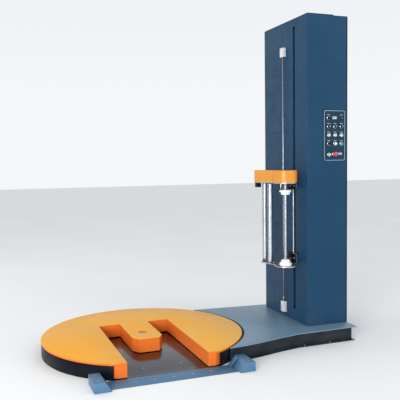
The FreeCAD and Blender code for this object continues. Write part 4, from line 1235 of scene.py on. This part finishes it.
@dataclass(frozen=True)
class ControlPanel:
    """The control panel on the mast's front side, with every control on it."""

    face: float = -0.365
    left: float = 1.401
    pitch_x: float = 0.0565
    foot: float = 1.518
    pitch_z: float = 0.0655
    bezel: float = 0.015
    depth: float = 0.005
    cap_gap: float = 0.0003
    mains_shift: Flat = (0.002, -0.084)
    stop_shift: Flat = (0.046, -0.080)
    label_half: float = 0.013
    label_foot: float = 0.0215
    label_head: float = 0.0255
    flutes: int = 18

    def spot(self, column: float, row: float) -> Matrix:
        """Returns the frame of a control, with +Z out of the panel."""
        return upright(self.left + column * self.pitch_x, self.face, self.foot + row * self.pitch_z)

    def beside(self, shift: Flat) -> Matrix:
        """Returns the frame of a control that stands off the grid."""
        return upright(self.left + shift[0], self.face, self.foot + shift[1])

    @property
    def mains(self) -> Matrix:
        """The main switch's frame."""
        return self.beside(self.mains_shift)

    @property
    def stop(self) -> Matrix:
        """The emergency stop's frame."""
        return self.beside(self.stop_shift)

    def spots(self) -> list[Matrix]:
        """Returns the frames of all twelve fittings that have a ring."""
        grid = [self.spot(column, row) for row in (2, 1, 0) for column in range(3)]
        return [self.spot(0, 3)] + grid + [self.mains, self.stop]

    def build(self) -> None:
        """Builds the panel and its controls."""
        self.plate()
        self.rings()
        self.window()
        self.lamp()
        dress("panel_back_box", Coat.BOX_GREY)
        self.knob("wrap_count_knob", "wrap_count", self.spot(0, 3), Coat.BLACK)
        for column, name in enumerate(("table_speed", "lift_speed", "film_force")):
            self.knob(f"{name}_knob", name, self.spot(column, 2), Coat.BLUE_CAP)
        for column, name in enumerate(("mode", "cycle", "reinforce")):
            self.selector(f"{name}_selector", name, self.spot(column, 1), 0.011)
        caps = (Coat.BLACK, Coat.WHITE_CAP, Coat.GREEN_CAP)
        for column, name in enumerate(("lift_down", "lift_up", "start")):
            self.button(f"{name}_button", name, self.spot(column, 0), caps[column])
        self.selector("main_switch", "mains", self.mains, 0.009)
        self.mushroom()

    def plate(self) -> None:
        """Builds the dark plate with its pale border line and label dashes."""
        low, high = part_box("panel_plate")
        width, height = high.x - low.x, high.z - low.z
        place = upright(low.x, high.y, low.z)
        bores = []
        for spot in self.spots():
            middle = place.inverted() @ spot.translation
            bores.append(circle(0.008, 20, (middle.x, middle.y)))
        plan = rounded(rectangle((0, 0), (width, height)), 0.01)
        plate = Solid().plate(plan, 0, high.y - low.y - 0.0004, 0.0008, bores, place)
        plate.wear(1)
        inset = 0.004
        outer = rounded(rectangle((inset, inset), (width - inset, height - inset)), 0.014)
        edge = inset + 0.003
        inner = rounded(rectangle((edge, edge), (width - edge, height - edge)), 0.0116)
        top = high.y - low.y
        plate.plate(outer, top - 0.0008, top, 0, [inner], place)
        plate.wear(2)
        for row in range(4):
            for column in range(3):
                if row == 3 and column == 1:
                    continue
                middle = place.inverted() @ self.spot(column, row).translation
                plate.block((middle.x - self.label_half, middle.y + self.label_foot, top - 0.0008),
                            (middle.x + self.label_half, middle.y + self.label_head, top), 0, place)
        for column, row, wide, tall in ((0.3, -1.28, 0.009, 0.009), (1.72, -1.19, 0.021, 0.008)):
            middle = place.inverted() @ self.spot(column, row).translation
            plate.block((middle.x - wide, middle.y - tall, top - 0.0008),
                        (middle.x + wide, middle.y + tall, top), 0, place)
        plate.piece("panel_face", "base", [Coat.PANEL, Coat.PALE_LINE, Coat.PALE_MARK],
                    ["panel_plate"])

    def rings(self) -> None:
        """Builds the turned rings round the controls."""
        rings = Solid()
        depth = self.depth
        profile = [(0.0063, 0), (0.0146, 0), (self.bezel, 0.0005), (self.bezel, 0.0022),
                   (0.0145, 0.0026), (0.0145, 0.003), (0.0148, 0.0034), (0.014, depth - 0.0004),
                   (0.0132, depth), (0.0118, depth - 0.0012), (0.0063, depth - 0.0014)]
        for spot in self.spots():
            rings.lathe(profile, spot, 40, True)
        rings.piece("control_rings", "base", [Coat.BEZEL], ["panel_bezels"])

    def window(self) -> None:
        """Builds the pale counter window in its frame."""
        low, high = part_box("panel_display")
        place = upright(low.x, high.y, low.z)
        width, height, depth = high.x - low.x, high.z - low.z, high.y - low.y
        plan = rounded(rectangle((0, 0), (width, height)), 0.002)
        hole = rounded(rectangle((0.003, 0.003), (width - 0.003, height - 0.003)), 0.001, 3)
        window = Solid().plate(plan, 0, depth, 0.0006, [hole], place)
        window.wear(1).plate(hole, 0.0005, depth - 0.001, 0, (), place)
        window.wear(2)
        for index in range(3):
            x = 0.0085 + 0.0065 * index
            window.block((x, 0.006, depth - 0.0012), (x + 0.004, 0.014, depth - 0.0008), 0, place)
        window.piece("counter_window", "base", [Coat.PALE_LINE, Coat.DISPLAY, Coat.BLACK],
                     ["panel_display"])

    def lamp(self) -> None:
        """Builds the green lamp: a turned ring with a domed lens."""
        spot = self.spot(2, 3)
        ring = [(0.007, 0), (0.0096, 0), (0.01, 0.0005), (0.01, 0.004), (0.0092, 0.005),
                (0.0074, 0.005)]
        lens = [(0.0073, 0.001), (0.0073, 0.0052), (0.0066, 0.0075), (0.0048, 0.0092),
                (0.0025, 0.0099), (0, 0.01)]
        lamp = Solid().lathe(ring, spot, 40, True).wear(1)
        lamp.lathe([(0, 0.001)] + lens, spot, 40)
        lamp.piece("signal_lamp", "base", [Coat.BLACK, Coat.GREEN_LAMP], ["panel_lamp"])

    def stem(self, solid: Solid, spot: Matrix, top: float) -> Solid:
        """Adds a control's stem behind the panel, up to a height before it."""
        return solid.lathe([(0, -0.012), (0.0054, -0.012), (0.006, -0.0114), (0.006, top),
                            (0, top)], spot, 24)

    def knob(self, node: str, body: str, spot: Matrix, cap: Coat) -> None:
        """Builds a fluted knob with a coloured cap and a pale pointer.

        Args:
            node: the frame's node that it stands for.
            body: the body that carries it.
            spot: its frame on the panel.
            cap: finish of its cap.
        """
        foot = self.depth + self.cap_gap
        knob = self.stem(Solid(), spot, foot + 0.001)
        knob.lathe([(0, foot), (0.0116, foot), (0.012, foot + 0.0006), (0.012, 0.0084),
                    (0.0112, 0.0092), (0, 0.0092)], spot, 48)
        flutes: Outline = []
        for index in range(self.flutes):
            flutes += [arc(radius, 360 / self.flutes * index + shift, 0, 1)[0]
                       for shift, radius in ((0, 0.011), (6, 0.0114), (12, 0.011), (16, 0.0103))]
        knob.plate(flutes, 0.0088, 0.02, 0.0006, (), spot, 1)
        knob.wear(1).plate(circle(0.0084, 36), 0.0196, 0.021, 0.0005, (), spot)
        knob.wear(2).block((-0.0011, 0.0005, 0.0206), (0.0011, 0.0098, 0.02249), 0.0004, spot)
        knob.piece(node.replace("_knob", "_dial"), body, [Coat.BLACK, cap, Coat.PALE_MARK], [node])

    def selector(self, node: str, body: str, spot: Matrix, radius: float) -> None:
        """Builds a selector switch: a low disc with a waisted grip across it.

        Args:
            node: the frame's node that it stands for.
            body: the body that carries it.
            spot: its frame on the panel.
            radius: radius of the disc.
        """
        foot = self.depth + self.cap_gap
        reach = radius - 0.001
        switch = self.stem(Solid(), spot, foot + 0.001).wear(1)
        switch.lathe([(0, foot), (radius - 0.0004, foot), (radius, foot + 0.0004),
                      (radius, 0.009), (radius - 0.0008, 0.01), (0, 0.01)], spot, 40)
        grip = [(-0.003, -reach), (0.003, -reach), (0.0022, -reach * 0.35), (0.0022, reach * 0.35),
                (0.003, reach), (-0.003, reach), (-0.0022, reach * 0.35), (-0.0022, -reach * 0.35)]
        switch.wear(2).plate(rounded(grip, 0.0012, 3), 0.0096, 0.0209, 0.0006, (), spot)
        switch.wear(0).block((-0.0006, reach * 0.15, 0.0204), (0.0006, reach - 0.0012, 0.02099),
                             0.0002, spot)
        switch.piece(node + "_grip", body, [Coat.BLACK, Coat.IVORY_CAP, Coat.BLOCK], [node])

    def button(self, node: str, body: str, spot: Matrix, cap: Coat) -> None:
        """Builds a push button with a dished cap.

        Args:
            node: the frame's node that it stands for.
            body: the body that carries it.
            spot: its frame on the panel.
            cap: finish of its cap.
        """
        push = self.stem(Solid(), spot, 0.0102).wear(1)
        push.lathe([(0, 0.01), (0.01, 0.01), (0.0105, 0.0104), (0.0105, 0.0138),
                    (0.01, 0.0147), (0.009, 0.015), (0.0072, 0.0145), (0.0035, 0.0141),
                    (0, 0.014)], spot, 40)
        push.piece(node + "_cap", body, [Coat.BLACK, cap], [node])

    def mushroom(self) -> None:
        """Builds the emergency stop's mushroom head with its pale turning marks."""
        head = self.stem(Solid(), self.stop, 0.0122)
        head.wear(1)
        head.lathe([(0, 0.012), (0.0118, 0.012), (0.0122, 0.0126), (0.013, 0.0188),
                    (0.014, 0.0202), (0.0192, 0.0208), (0.02, 0.0222), (0.0199, 0.0246),
                    (0.0188, 0.0278), (0.0162, 0.0302), (0.012, 0.0317), (0.006, 0.0324),
                    (0, 0.0325)], self.stop, 56)
        head.wear(2)
        for index in range(3):
            begin = 120 * index + 20
            mark = arc(0.0128, begin, begin + 70, 10) + arc(0.011, begin + 70, begin, 10)
            head.plate(mark, 0.03, 0.0321, 0.0002, (), self.stop, 1)
        head.piece("stop_head", "stop", [Coat.BLACK, Coat.RED_CAP, Coat.PALE_MARK],
                   ["emergency_stop"])


# -------------------------------------------------------------- film carriage

@dataclass(frozen=True)
class FilmCarriage:
    """The film carriage: frame, cover, rollers, mandrel and core holders."""

    mandrel: Flat = (1.075, -0.272)
    angle: float = 103.3
    arm: float = 0.305
    short_arm: float = 0.237
    half: float = 0.045
    lobe: float = 0.089
    blend: float = 0.06
    sheet: float = 0.008
    tab_left: float = 1.055
    near: float = -0.212
    far: float = -0.11
    bracket_left: float = 1.135
    bracket_right: float = 1.212
    slot_y: float = -0.152
    slot_arm: float = 0.009
    roller_foot: float = 0.589
    roller_head: float = 1.214
    core_bore: float = 0.0122
    cone_shoulder: float = 0.608
    hub_shoulder: float = 1.151
    grooves: Flat = (0.640, 1.122)
    top_bolts: tuple[Flat, ...] = ((0.06, 0.05), (-0.07, 0.0), (0.05, -0.055), (0.18, 0.03),
                                   (0.25, -0.03))
    base_bolts: tuple[Flat, ...] = ((0.055, 0.06), (0.07, -0.055), (0.205, -0.026), (0.16, 0.026))

    @property
    def local(self) -> Matrix:
        """Frame with its origin on the mandrel's axis and +X along the arm."""
        return at(*self.mandrel, 0) @ spun(self.angle)

    def spot(self, x: float, y: float, z: float) -> Matrix:
        """Returns the frame at a place counted along and across the arm."""
        return self.local @ at(x, y, z)

    def outline(self, inset: float, length: float) -> Outline:
        """Draws the carriage's plan: a round lobe that blends into an arm."""
        lobe, half, blend = self.lobe - inset, self.half - inset, self.blend + inset
        reach = math.sqrt((lobe + blend) ** 2 - (half + blend) ** 2)
        lean = math.degrees(math.atan2(half + blend, reach))
        left = arc(lobe, lean, 360 - lean, 64)
        lower = arc(blend, 180 - lean, 90, 12, (reach, -half - blend))
        tip = arc(half, -90, 90, 32, (length, 0))
        upper = arc(blend, -90, -180 + lean, 12, (reach, half + blend))
        return left + lower[1:] + tip + upper[:-1]

    def build(self) -> None:
        """Builds the carriage's pieces."""
        self.cover()
        self.plates()
        self.mount("lower_bracket", "lower_mount")
        self.mount("upper_bracket", "upper_mount")
        dress("lift_trolley", Coat.CHAIN)
        self.tie()
        self.brake()
        self.eye()
        self.shaft()
        self.core()
        self.spring()
        self.roller("outer_film_roller", "outer_roller")
        self.roller("inner_film_roller", "inner_roller")
        self.release_pin()

    def cover(self) -> None:
        """Builds the deep-drawn cover with its rounded upper edge."""
        low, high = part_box("carriage_cover")
        cover = Solid().hollow(self.outline(0, self.arm), low.z, high.z, 0.003, 0.005, self.local)
        cover.piece("carriage_cap", "carriage", [Coat.COVER], ["carriage_cover"])

    def slab(self, node: str, inset: float, length: float,
             soft: float) -> tuple[Solid, Vector, Vector]:
        """Starts one plate with the tab that its bracket is bolted to.

        Args:
            node: the frame's node that it stands for.
            inset: how far it stands behind the cover's edge.
            length: how far its arm reaches.
            soft: radius of its rounded edges.

        Returns:
            The plate and the lowest and highest corner of its node.
        """
        low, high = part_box(node)
        slab = Solid().plate(self.outline(inset, length), low.z, high.z, soft, (), self.local)
        slab.block((self.tab_left, self.near, low.z + 0.0004),
                   (self.bracket_right, self.far, high.z - 0.0004), 0.001)
        return slab, low, high

    def plates(self) -> None:
        """Builds the two plates with their bolts and bearing rings."""
        top, low, high = self.slab("carriage_top_plate", 0, self.arm, 0.001)
        top.wear(1)
        down = Matrix.Rotation(math.pi, 4, "X")
        for x, y in self.top_bolts:
            spot = self.spot(x, y, low.z + 0.0005) @ down
            hex_bolt(top, spot, 0.0055, 0.0048)
        top.piece("top_plate", "carriage", [Coat.ZINC, Coat.SCREW], ["carriage_top_plate"])

        base, low, high = self.slab("carriage_bottom_plate", 0.003, self.short_arm, 0.0018)
        base.wear(1)
        for x, y in self.base_bolts:
            spot = self.spot(x, y, high.z - 0.0003)
            hex_bolt(base, spot, 0.006, 0.007)
        base.wear(2)
        bush = self.spot(0.105, 0.03, high.z - 0.0003)
        base.lathe([(0.0065, 0), (0.013, 0), (0.014, 0.001), (0.014, 0.006), (0.013, 0.007),
                    (0.0075, 0.007), (0.0065, 0.006)], bush, 36, True)
        base.wear(3).lathe([(0, 0), (0.0062, 0), (0.0062, 0.008), (0.005, 0.0092), (0, 0.0092)],
                           bush, 28)
        eyelet = self.spot(0.222, 0.036, high.z + 0.0135) @ towards(-Y_AXIS)
        base.wear(2).lathe([(0.0095 + x, y) for x, y in circle(0.0035, 12)], eyelet, 32, True)
        base.piece("bottom_plate", "carriage", [Coat.ZINC, Coat.SCREW, Coat.BLACK, Coat.NYLON],
                   ["carriage_bottom_plate"])

    def mount(self, node: str, name: str) -> None:
        """Builds one folded bracket with a black block in its pocket, which is painted shade, and its
        slot arm.

        Args:
            node: the frame's node that it stands for.
            name: the new piece's name.
        """
        low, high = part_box(node)
        wall = 0.004
        width, height = self.bracket_right - self.bracket_left, high.z - low.z
        place = upright(self.bracket_left, self.far, low.z)
        depth = self.far - self.near
        ring = rounded(rectangle((0, 0), (width, height)), 0.005, 4)
        room = rounded(rectangle((wall, wall), (width - wall, height - wall)), 0.002, 3)
        shell = Solid().plate(ring, 0.002, depth, 0.0006, [room], place)
        shell.plate(ring, 0, wall, 0.0006, (), place)
        # Black block set back in the pocket: painted shade inside the bracket.
        shell.wear(1).block((wall + 0.002, wall + 0.001, wall - 0.001),
                            (width - wall - 0.002, height - wall - 0.001, depth - 0.014), 0.002, place)
        shell.wear(2)
        strip = [(width - 0.01, 0.001), (width + 0.0006, 0.001), (width + 0.0006, height - 0.013),
                 (width - 0.013, height + 0.0004), (width - 0.03, height + 0.0004),
                 (width - 0.03, height - 0.0045), (width - 0.016, height - 0.0045),
                 (width - 0.01, height - 0.014)]
        shell.plate(strip, depth - 0.03, depth + 0.001, 0.0005, (), place)
        spots = [place @ at(x, height / 2, depth - 0.0145) for x in (0.022, width - 0.024)]
        cap_screws(shell, spots, 0.0065, 0.006)
        shell.wear(0)
        shell.block((self.bracket_right - 0.002, self.slot_y - self.slot_arm, low.z + 0.006),
                    (high.x, self.slot_y + self.slot_arm, high.z - 0.006), 0.002)
        shell.piece(name, "carriage", [Coat.BRACKET_BLACK, Coat.BLACK, Coat.ZINC], [node])

    def tie(self) -> None:
        """Builds the tie rod with a nut and washer at each end."""
        low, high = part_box("tie_rod")
        middle = (low + high) / 2
        rod = Solid().rod((middle.x, middle.y, low.z), (middle.x, middle.y, high.z), 0.0062, 28)
        for z, rise in ((low.z, 1), (high.z, -1)):
            place = at(middle.x, middle.y, z) @ towards(Z_AXIS * rise)
            rod.plate(circle(0.007, 28), 0, 0.0016, 0.0003, (), place)
            rod.plate(hex_outline(0.007), 0.0016, 0.01, 0.0006, (), place)
        rod.piece("tie_bar", "carriage", [Coat.CHROME], ["tie_rod"])

    def brake(self) -> None:
        """Builds the ribbed housing of the film brake."""
        low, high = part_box("film_brake")
        middle = (low + high) / 2
        radius = (high.x - low.x) / 2
        profile = [(0.0065, low.z), (radius - 0.001, low.z), (radius, low.z + 0.001)]
        for index in range(6):
            foot = low.z + 0.004 + 0.0055 * index
            profile += [(radius, foot), (radius - 0.003, foot + 0.001),
                        (radius - 0.003, foot + 0.003), (radius, foot + 0.004)]
        profile += [(radius, high.z - 0.001), (radius - 0.001, high.z), (0.0065, high.z)]
        can = Solid().lathe(profile, at(middle.x, middle.y, 0), 48, True)
        can.piece("brake_can", "carriage", [Coat.MOTOR], ["film_brake"])

    def eye(self) -> None:
        """Builds the photocell with its two lenses and its signal light."""
        low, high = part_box("film_photocell")
        top, foot = high.z, low.z
        eye = Solid().block((self.arm + 0.002, -0.014, foot), (self.arm + 0.04, 0.02, top), 0.0022,
                            self.local, 3)
        eye.block((self.arm + 0.004, -0.0125, foot + 0.01), (self.arm + 0.038, 0.0185, foot + 0.011),
                  0, self.local)
        eye.wear(1)
        face = self.spot(self.arm + 0.021, -0.0138, foot) @ towards(-Y_AXIS)
        for height in (0.012, 0.027):
            lens = at(0, 0, height) @ face
            eye.lathe([(0, -0.001), (0.0052, -0.001), (0.0052, 0.0001), (0, 0.0002)], lens, 28)
        eye.wear(2)
        eye.block((self.arm + 0.03, -0.006, top - 0.0006), (self.arm + 0.034, 0.01, top - 0.0001),
                  0, self.local)
        eye.piece("photocell", "carriage", [Coat.BLACK, Coat.EYE, Coat.GREEN_LAMP],
                  ["film_photocell"])

    def shaft(self) -> None:
        """Builds the mandrel's shaft with chamfers and ring grooves."""
        low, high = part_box("mandrel_shaft")
        profile = [(0, low.z), (0.011, low.z), (0.012, low.z + 0.001)]
        for groove in self.grooves:
            profile += [(0.012, groove), (0.0112, groove + 0.0004), (0.0112, groove + 0.0018),
                        (0.012, groove + 0.0022)]
        profile += [(0.012, high.z - 0.001), (0.011, high.z), (0, high.z)]
        shaft = Solid().lathe(profile, at(*self.mandrel, 0), 40)
        shaft.piece("mandrel_bar", "mandrel", [Coat.SHAFT], ["mandrel_shaft"])

    def core(self) -> None:
        """Builds the lower cone and the sliding hub that hold the film's core."""
        axis = at(*self.mandrel, 0)
        low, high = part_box("core_cone")
        reach = (high.x - low.x) / 2
        bore = self.core_bore
        seat, rest = self.cone_shoulder, self.hub_shoulder
        cone = Solid().lathe([
            (bore, low.z), (reach - 0.001, low.z), (reach, low.z + 0.001), (reach, low.z + 0.005),
            (reach - 0.0007, low.z + 0.006), (0.0452, seat - 0.0015), (0.0444, seat), (0.036, seat),
            (0.035, seat + 0.0008), (0.035, seat + 0.0145), (0.0342, seat + 0.0155),
            (0.0245, seat + 0.0232),
            (0.023, high.z), (0.015, high.z), (bore, high.z - 0.003),
        ], axis, 72, True)
        for index in range(3):
            turn = axis @ spun(120 * index + 40)
            cone.block((0.034, -0.0014, seat + 0.0015), (0.0356, 0.0014, seat + 0.0145), 0.0004, turn)
        cone.piece("lower_core_cone", "mandrel", [Coat.NYLON], ["core_cone"])

        low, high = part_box("core_hub")
        hub = Solid().lathe([
            (bore, low.z + 0.002), (0.016, low.z), (0.03, low.z), (0.032, low.z + 0.001),
            (0.035, low.z + 0.005), (0.035, rest - 0.0005), (0.036, rest), (0.0442, rest),
            (0.045, rest + 0.001), (0.045, high.z - 0.003), (0.043, high.z), (0.026, high.z),
            (0.025, high.z - 0.0015), (0.016, high.z - 0.0015), (0.015, high.z), (bore, high.z),
        ], axis, 72, True)
        hub.piece("upper_core_hub", "core_holder", [Coat.NYLON], ["core_hub"])

    def spring(self) -> None:
        """Builds the coil spring, which rides on no body."""
        low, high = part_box("hub_spring")
        wire, radius, turns, steps = 0.0015, 0.018, 5, 26
        spring = Solid()
        ring = [spring.mesh.verts.new((radius + x, 0, y)) for x, y in circle(wire, 10)]
        edges = [spring.mesh.edges.new((ring[i - 1], ring[i])) for i in range(10)]
        bmesh.ops.contextual_create(spring.mesh, geom=edges)
        climb = (high.z - low.z - 2 * wire) / (turns * steps)
        made = bmesh.ops.spin(spring.mesh, geom=ring + edges, cent=(0, 0, 0), axis=Z_AXIS,
                              dvec=(0, 0, climb), angle=turns * 2 * math.pi, steps=turns * steps,
                              use_merge=False, use_normal_flip=False, use_duplicate=False)
        last = [item for item in made["geom_last"] if isinstance(item, bmesh.types.BMEdge)]
        bmesh.ops.contextual_create(spring.mesh, geom=last)
        place = at(*self.mandrel, low.z + wire)
        bmesh.ops.transform(spring.mesh, matrix=place, verts=spring.mesh.verts[:])
        bmesh.ops.recalc_face_normals(spring.mesh, faces=spring.mesh.faces[:])
        coil = spring.piece("hub_coil", "", [Coat.SPRING], ["hub_spring"])
        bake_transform(coil)

    def roller(self, node: str, body: str) -> None:
        """Builds one film roller with its tube, end caps and journals.

        Args:
            node: the frame's node that it stands for.
            body: the body that carries it.
        """
        low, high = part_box(node)
        middle = (low + high) / 2
        radius = (high.x - low.x) / 2
        foot, head = self.roller_foot, self.roller_head
        axis = at(middle.x, middle.y, 0)
        roller = Solid().lathe([
            (radius - 0.003, foot + 0.004), (radius - 0.001, foot + 0.004),
            (radius, foot + 0.005), (radius, head - 0.005), (radius - 0.001, head - 0.004),
            (radius - 0.003, head - 0.004),
        ], axis, 64, True)
        roller.wear(1)
        roller.lathe([
            (0, low.z), (0.0055, low.z), (0.006, low.z + 0.0005), (0.006, foot),
            (0.016, foot), (radius - 0.0022, foot + 0.001), (radius - 0.0022, foot + 0.008),
            (0.006, foot + 0.008), (0.006, head - 0.008), (radius - 0.0022, head - 0.008),
            (radius - 0.0022, head - 0.001), (0.016, head), (0.006, head), (0.006, high.z - 0.0005),
            (0.0055, high.z), (0, high.z),
        ], axis, 48)
        roller.piece(f"{body}_tube", body, [Coat.CHROME, Coat.MOTOR], [node])

    def release_pin(self) -> None:
        """Builds the short release pin that hangs under the top plate."""
        low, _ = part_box("carriage_top_plate")
        place = self.spot(0.0, 0.046, low.z) @ Matrix.Rotation(math.pi, 4, "X")
        pin = Solid().lathe([(0, -0.001), (0.008, -0.001), (0.008, 0.003), (0.0035, 0.004),
                             (0.0035, 0.03), (0.0042, 0.031), (0.0042, 0.041), (0.0032, 0.043),
                             (0, 0.043)], place, 28)
        pin.piece("release_pin", "carriage", [Coat.CHROME], (), "roller_chrome")


# ---------------------------------------------------------------------- studio

@dataclass(frozen=True)
class Lamp:
    """One soft square light that looks at the machine's middle."""

    name: str
    place: tuple[float, float, float]
    side: float
    watts: float
    colour: Colour = (1.0, 1.0, 1.0)
    target: tuple[float, float, float] = (0.5, 0.0, 0.7)

    def build(self) -> None:
        """Puts the light up."""
        data = bpy.data.lights.new(self.name, "AREA")
        data.shape = "SQUARE"
        data.size = self.side
        data.energy = self.watts
        data.color = self.colour
        item = bpy.data.objects.new(self.name, data)
        item.location = self.place
        aim = Vector(self.target) - Vector(self.place)
        item.rotation_euler = aim.to_track_quat("-Z", "Y").to_euler()
        bpy.context.scene.collection.objects.link(item)


@dataclass(frozen=True)
class Studio:
    """The pale floor, the soft lights and the camera."""

    eye: tuple[float, float, float] = (-1.1747, -4.4443, 1.3967)
    yaw: float = 0.3557
    pitch: float = 0.0634
    roll: float = -0.0129
    lens: float = 55.13
    sensor: float = 36.0
    floor_half: float = 30.0
    floor_drop: float = 0.0005
    horizon: float = 0.95
    zenith: float = 0.78
    dark_side: float = 0.35
    lamps: tuple[Lamp, ...] = (
        Lamp("key", (-4.0, -5.4, 1.9), 2.6, 330.0, (1.0, 0.98, 0.95)),
        Lamp("fill", (4.6, -4.8, 3.0), 3.0, 40.0, (0.93, 0.96, 1.0)),
        Lamp("back", (-3.6, 3.6, 3.2), 2.6, 35.0, (0.92, 0.96, 1.0)),
    )

    def build(self) -> None:
        """Builds the floor, the lights and the camera."""
        stage = bmesh.new()
        bmesh.ops.create_grid(stage, x_segments=1, y_segments=1, size=self.floor_half)
        mesh = bpy.data.meshes.new("studio_floor")
        stage.to_mesh(mesh)
        stage.free()
        floor = bpy.data.objects.new("studio_floor", mesh)
        bpy.context.scene.collection.objects.link(floor)
        floor.data.transform(at(0, 0, -self.floor_drop))
        floor.data.materials.append(StudioFloor().make("studio_floor"))

        world = bpy.data.worlds.new("studio")
        world.use_nodes = True
        background = world.node_tree.nodes["Background"]
        background.inputs["Color"].default_value = (0.96, 0.98, 1.0, 1)
        world.node_tree.links.new(self.sky(world.node_tree), background.inputs["Strength"])
        bpy.context.scene.world = world
        for lamp in self.lamps:
            lamp.build()
        self.camera()
        bpy.context.scene.view_settings.view_transform = "Standard"

    def sky(self, tree: bpy.types.NodeTree) -> bpy.types.NodeSocket:
        """Makes the surroundings bright at the horizon, dimmer above and dark at one side.

        Args:
            tree: the world's node tree.

        Returns:
            The strength of the light from each direction.
        """
        place = tree.nodes.new("ShaderNodeTexCoord").outputs["Generated"]
        axes = tree.nodes.new("ShaderNodeSeparateXYZ")
        tree.links.new(place, axes.inputs[0])
        shares = []
        for axis, low, high, first, last in (("Z", 0.1, 0.6, self.horizon, self.zenith),
                                             ("X", -0.95, -0.6, self.dark_side, 1.0)):
            span = tree.nodes.new("ShaderNodeMapRange")
            tree.links.new(axes.outputs[axis], span.inputs["Value"])
            for key, value in (("From Min", low), ("From Max", high), ("To Min", first),
                               ("To Max", last)):
                span.inputs[key].default_value = value
            shares.append(span.outputs[0])
        product = tree.nodes.new("ShaderNodeMath")
        product.operation = "MULTIPLY"
        for index, share in enumerate(shares):
            tree.links.new(share, product.inputs[index])
        return product.outputs[0]

    def camera(self) -> None:
        """Puts the camera up by its heading, its dip and its roll."""
        ahead = Vector((math.sin(self.yaw) * math.cos(self.pitch),
                        math.cos(self.yaw) * math.cos(self.pitch), -math.sin(self.pitch)))
        right = Vector((math.cos(self.yaw), -math.sin(self.yaw), 0))
        up = right.cross(ahead)
        lean = Matrix.Rotation(-self.roll, 3, ahead)
        right, up = lean @ right, lean @ up
        data = bpy.data.cameras.new("camera")
        data.sensor_width = self.sensor
        data.lens = self.lens
        item = bpy.data.objects.new("camera", data)
        axes = Matrix((right, up, -ahead)).transposed().to_4x4()
        item.matrix_world = Matrix.Translation(self.eye) @ axes
        bpy.context.scene.collection.objects.link(item)
        bpy.context.scene.camera = item


def main() -> None:
    """Builds the machine's looks and the studio, and reports each piece."""
    logging.basicConfig(level=logging.INFO, format="%(message)s")
    for part in (Floor(), BaseArm(), Turntable(), Mast(), LiftGear(), ControlPanel(),
                 FilmCarriage(), Studio()):
        log.info("building %s", type(part).__name__)
        part.build()
    bpy.context.view_layer.update()


if __name__ == "__main__":
    main()
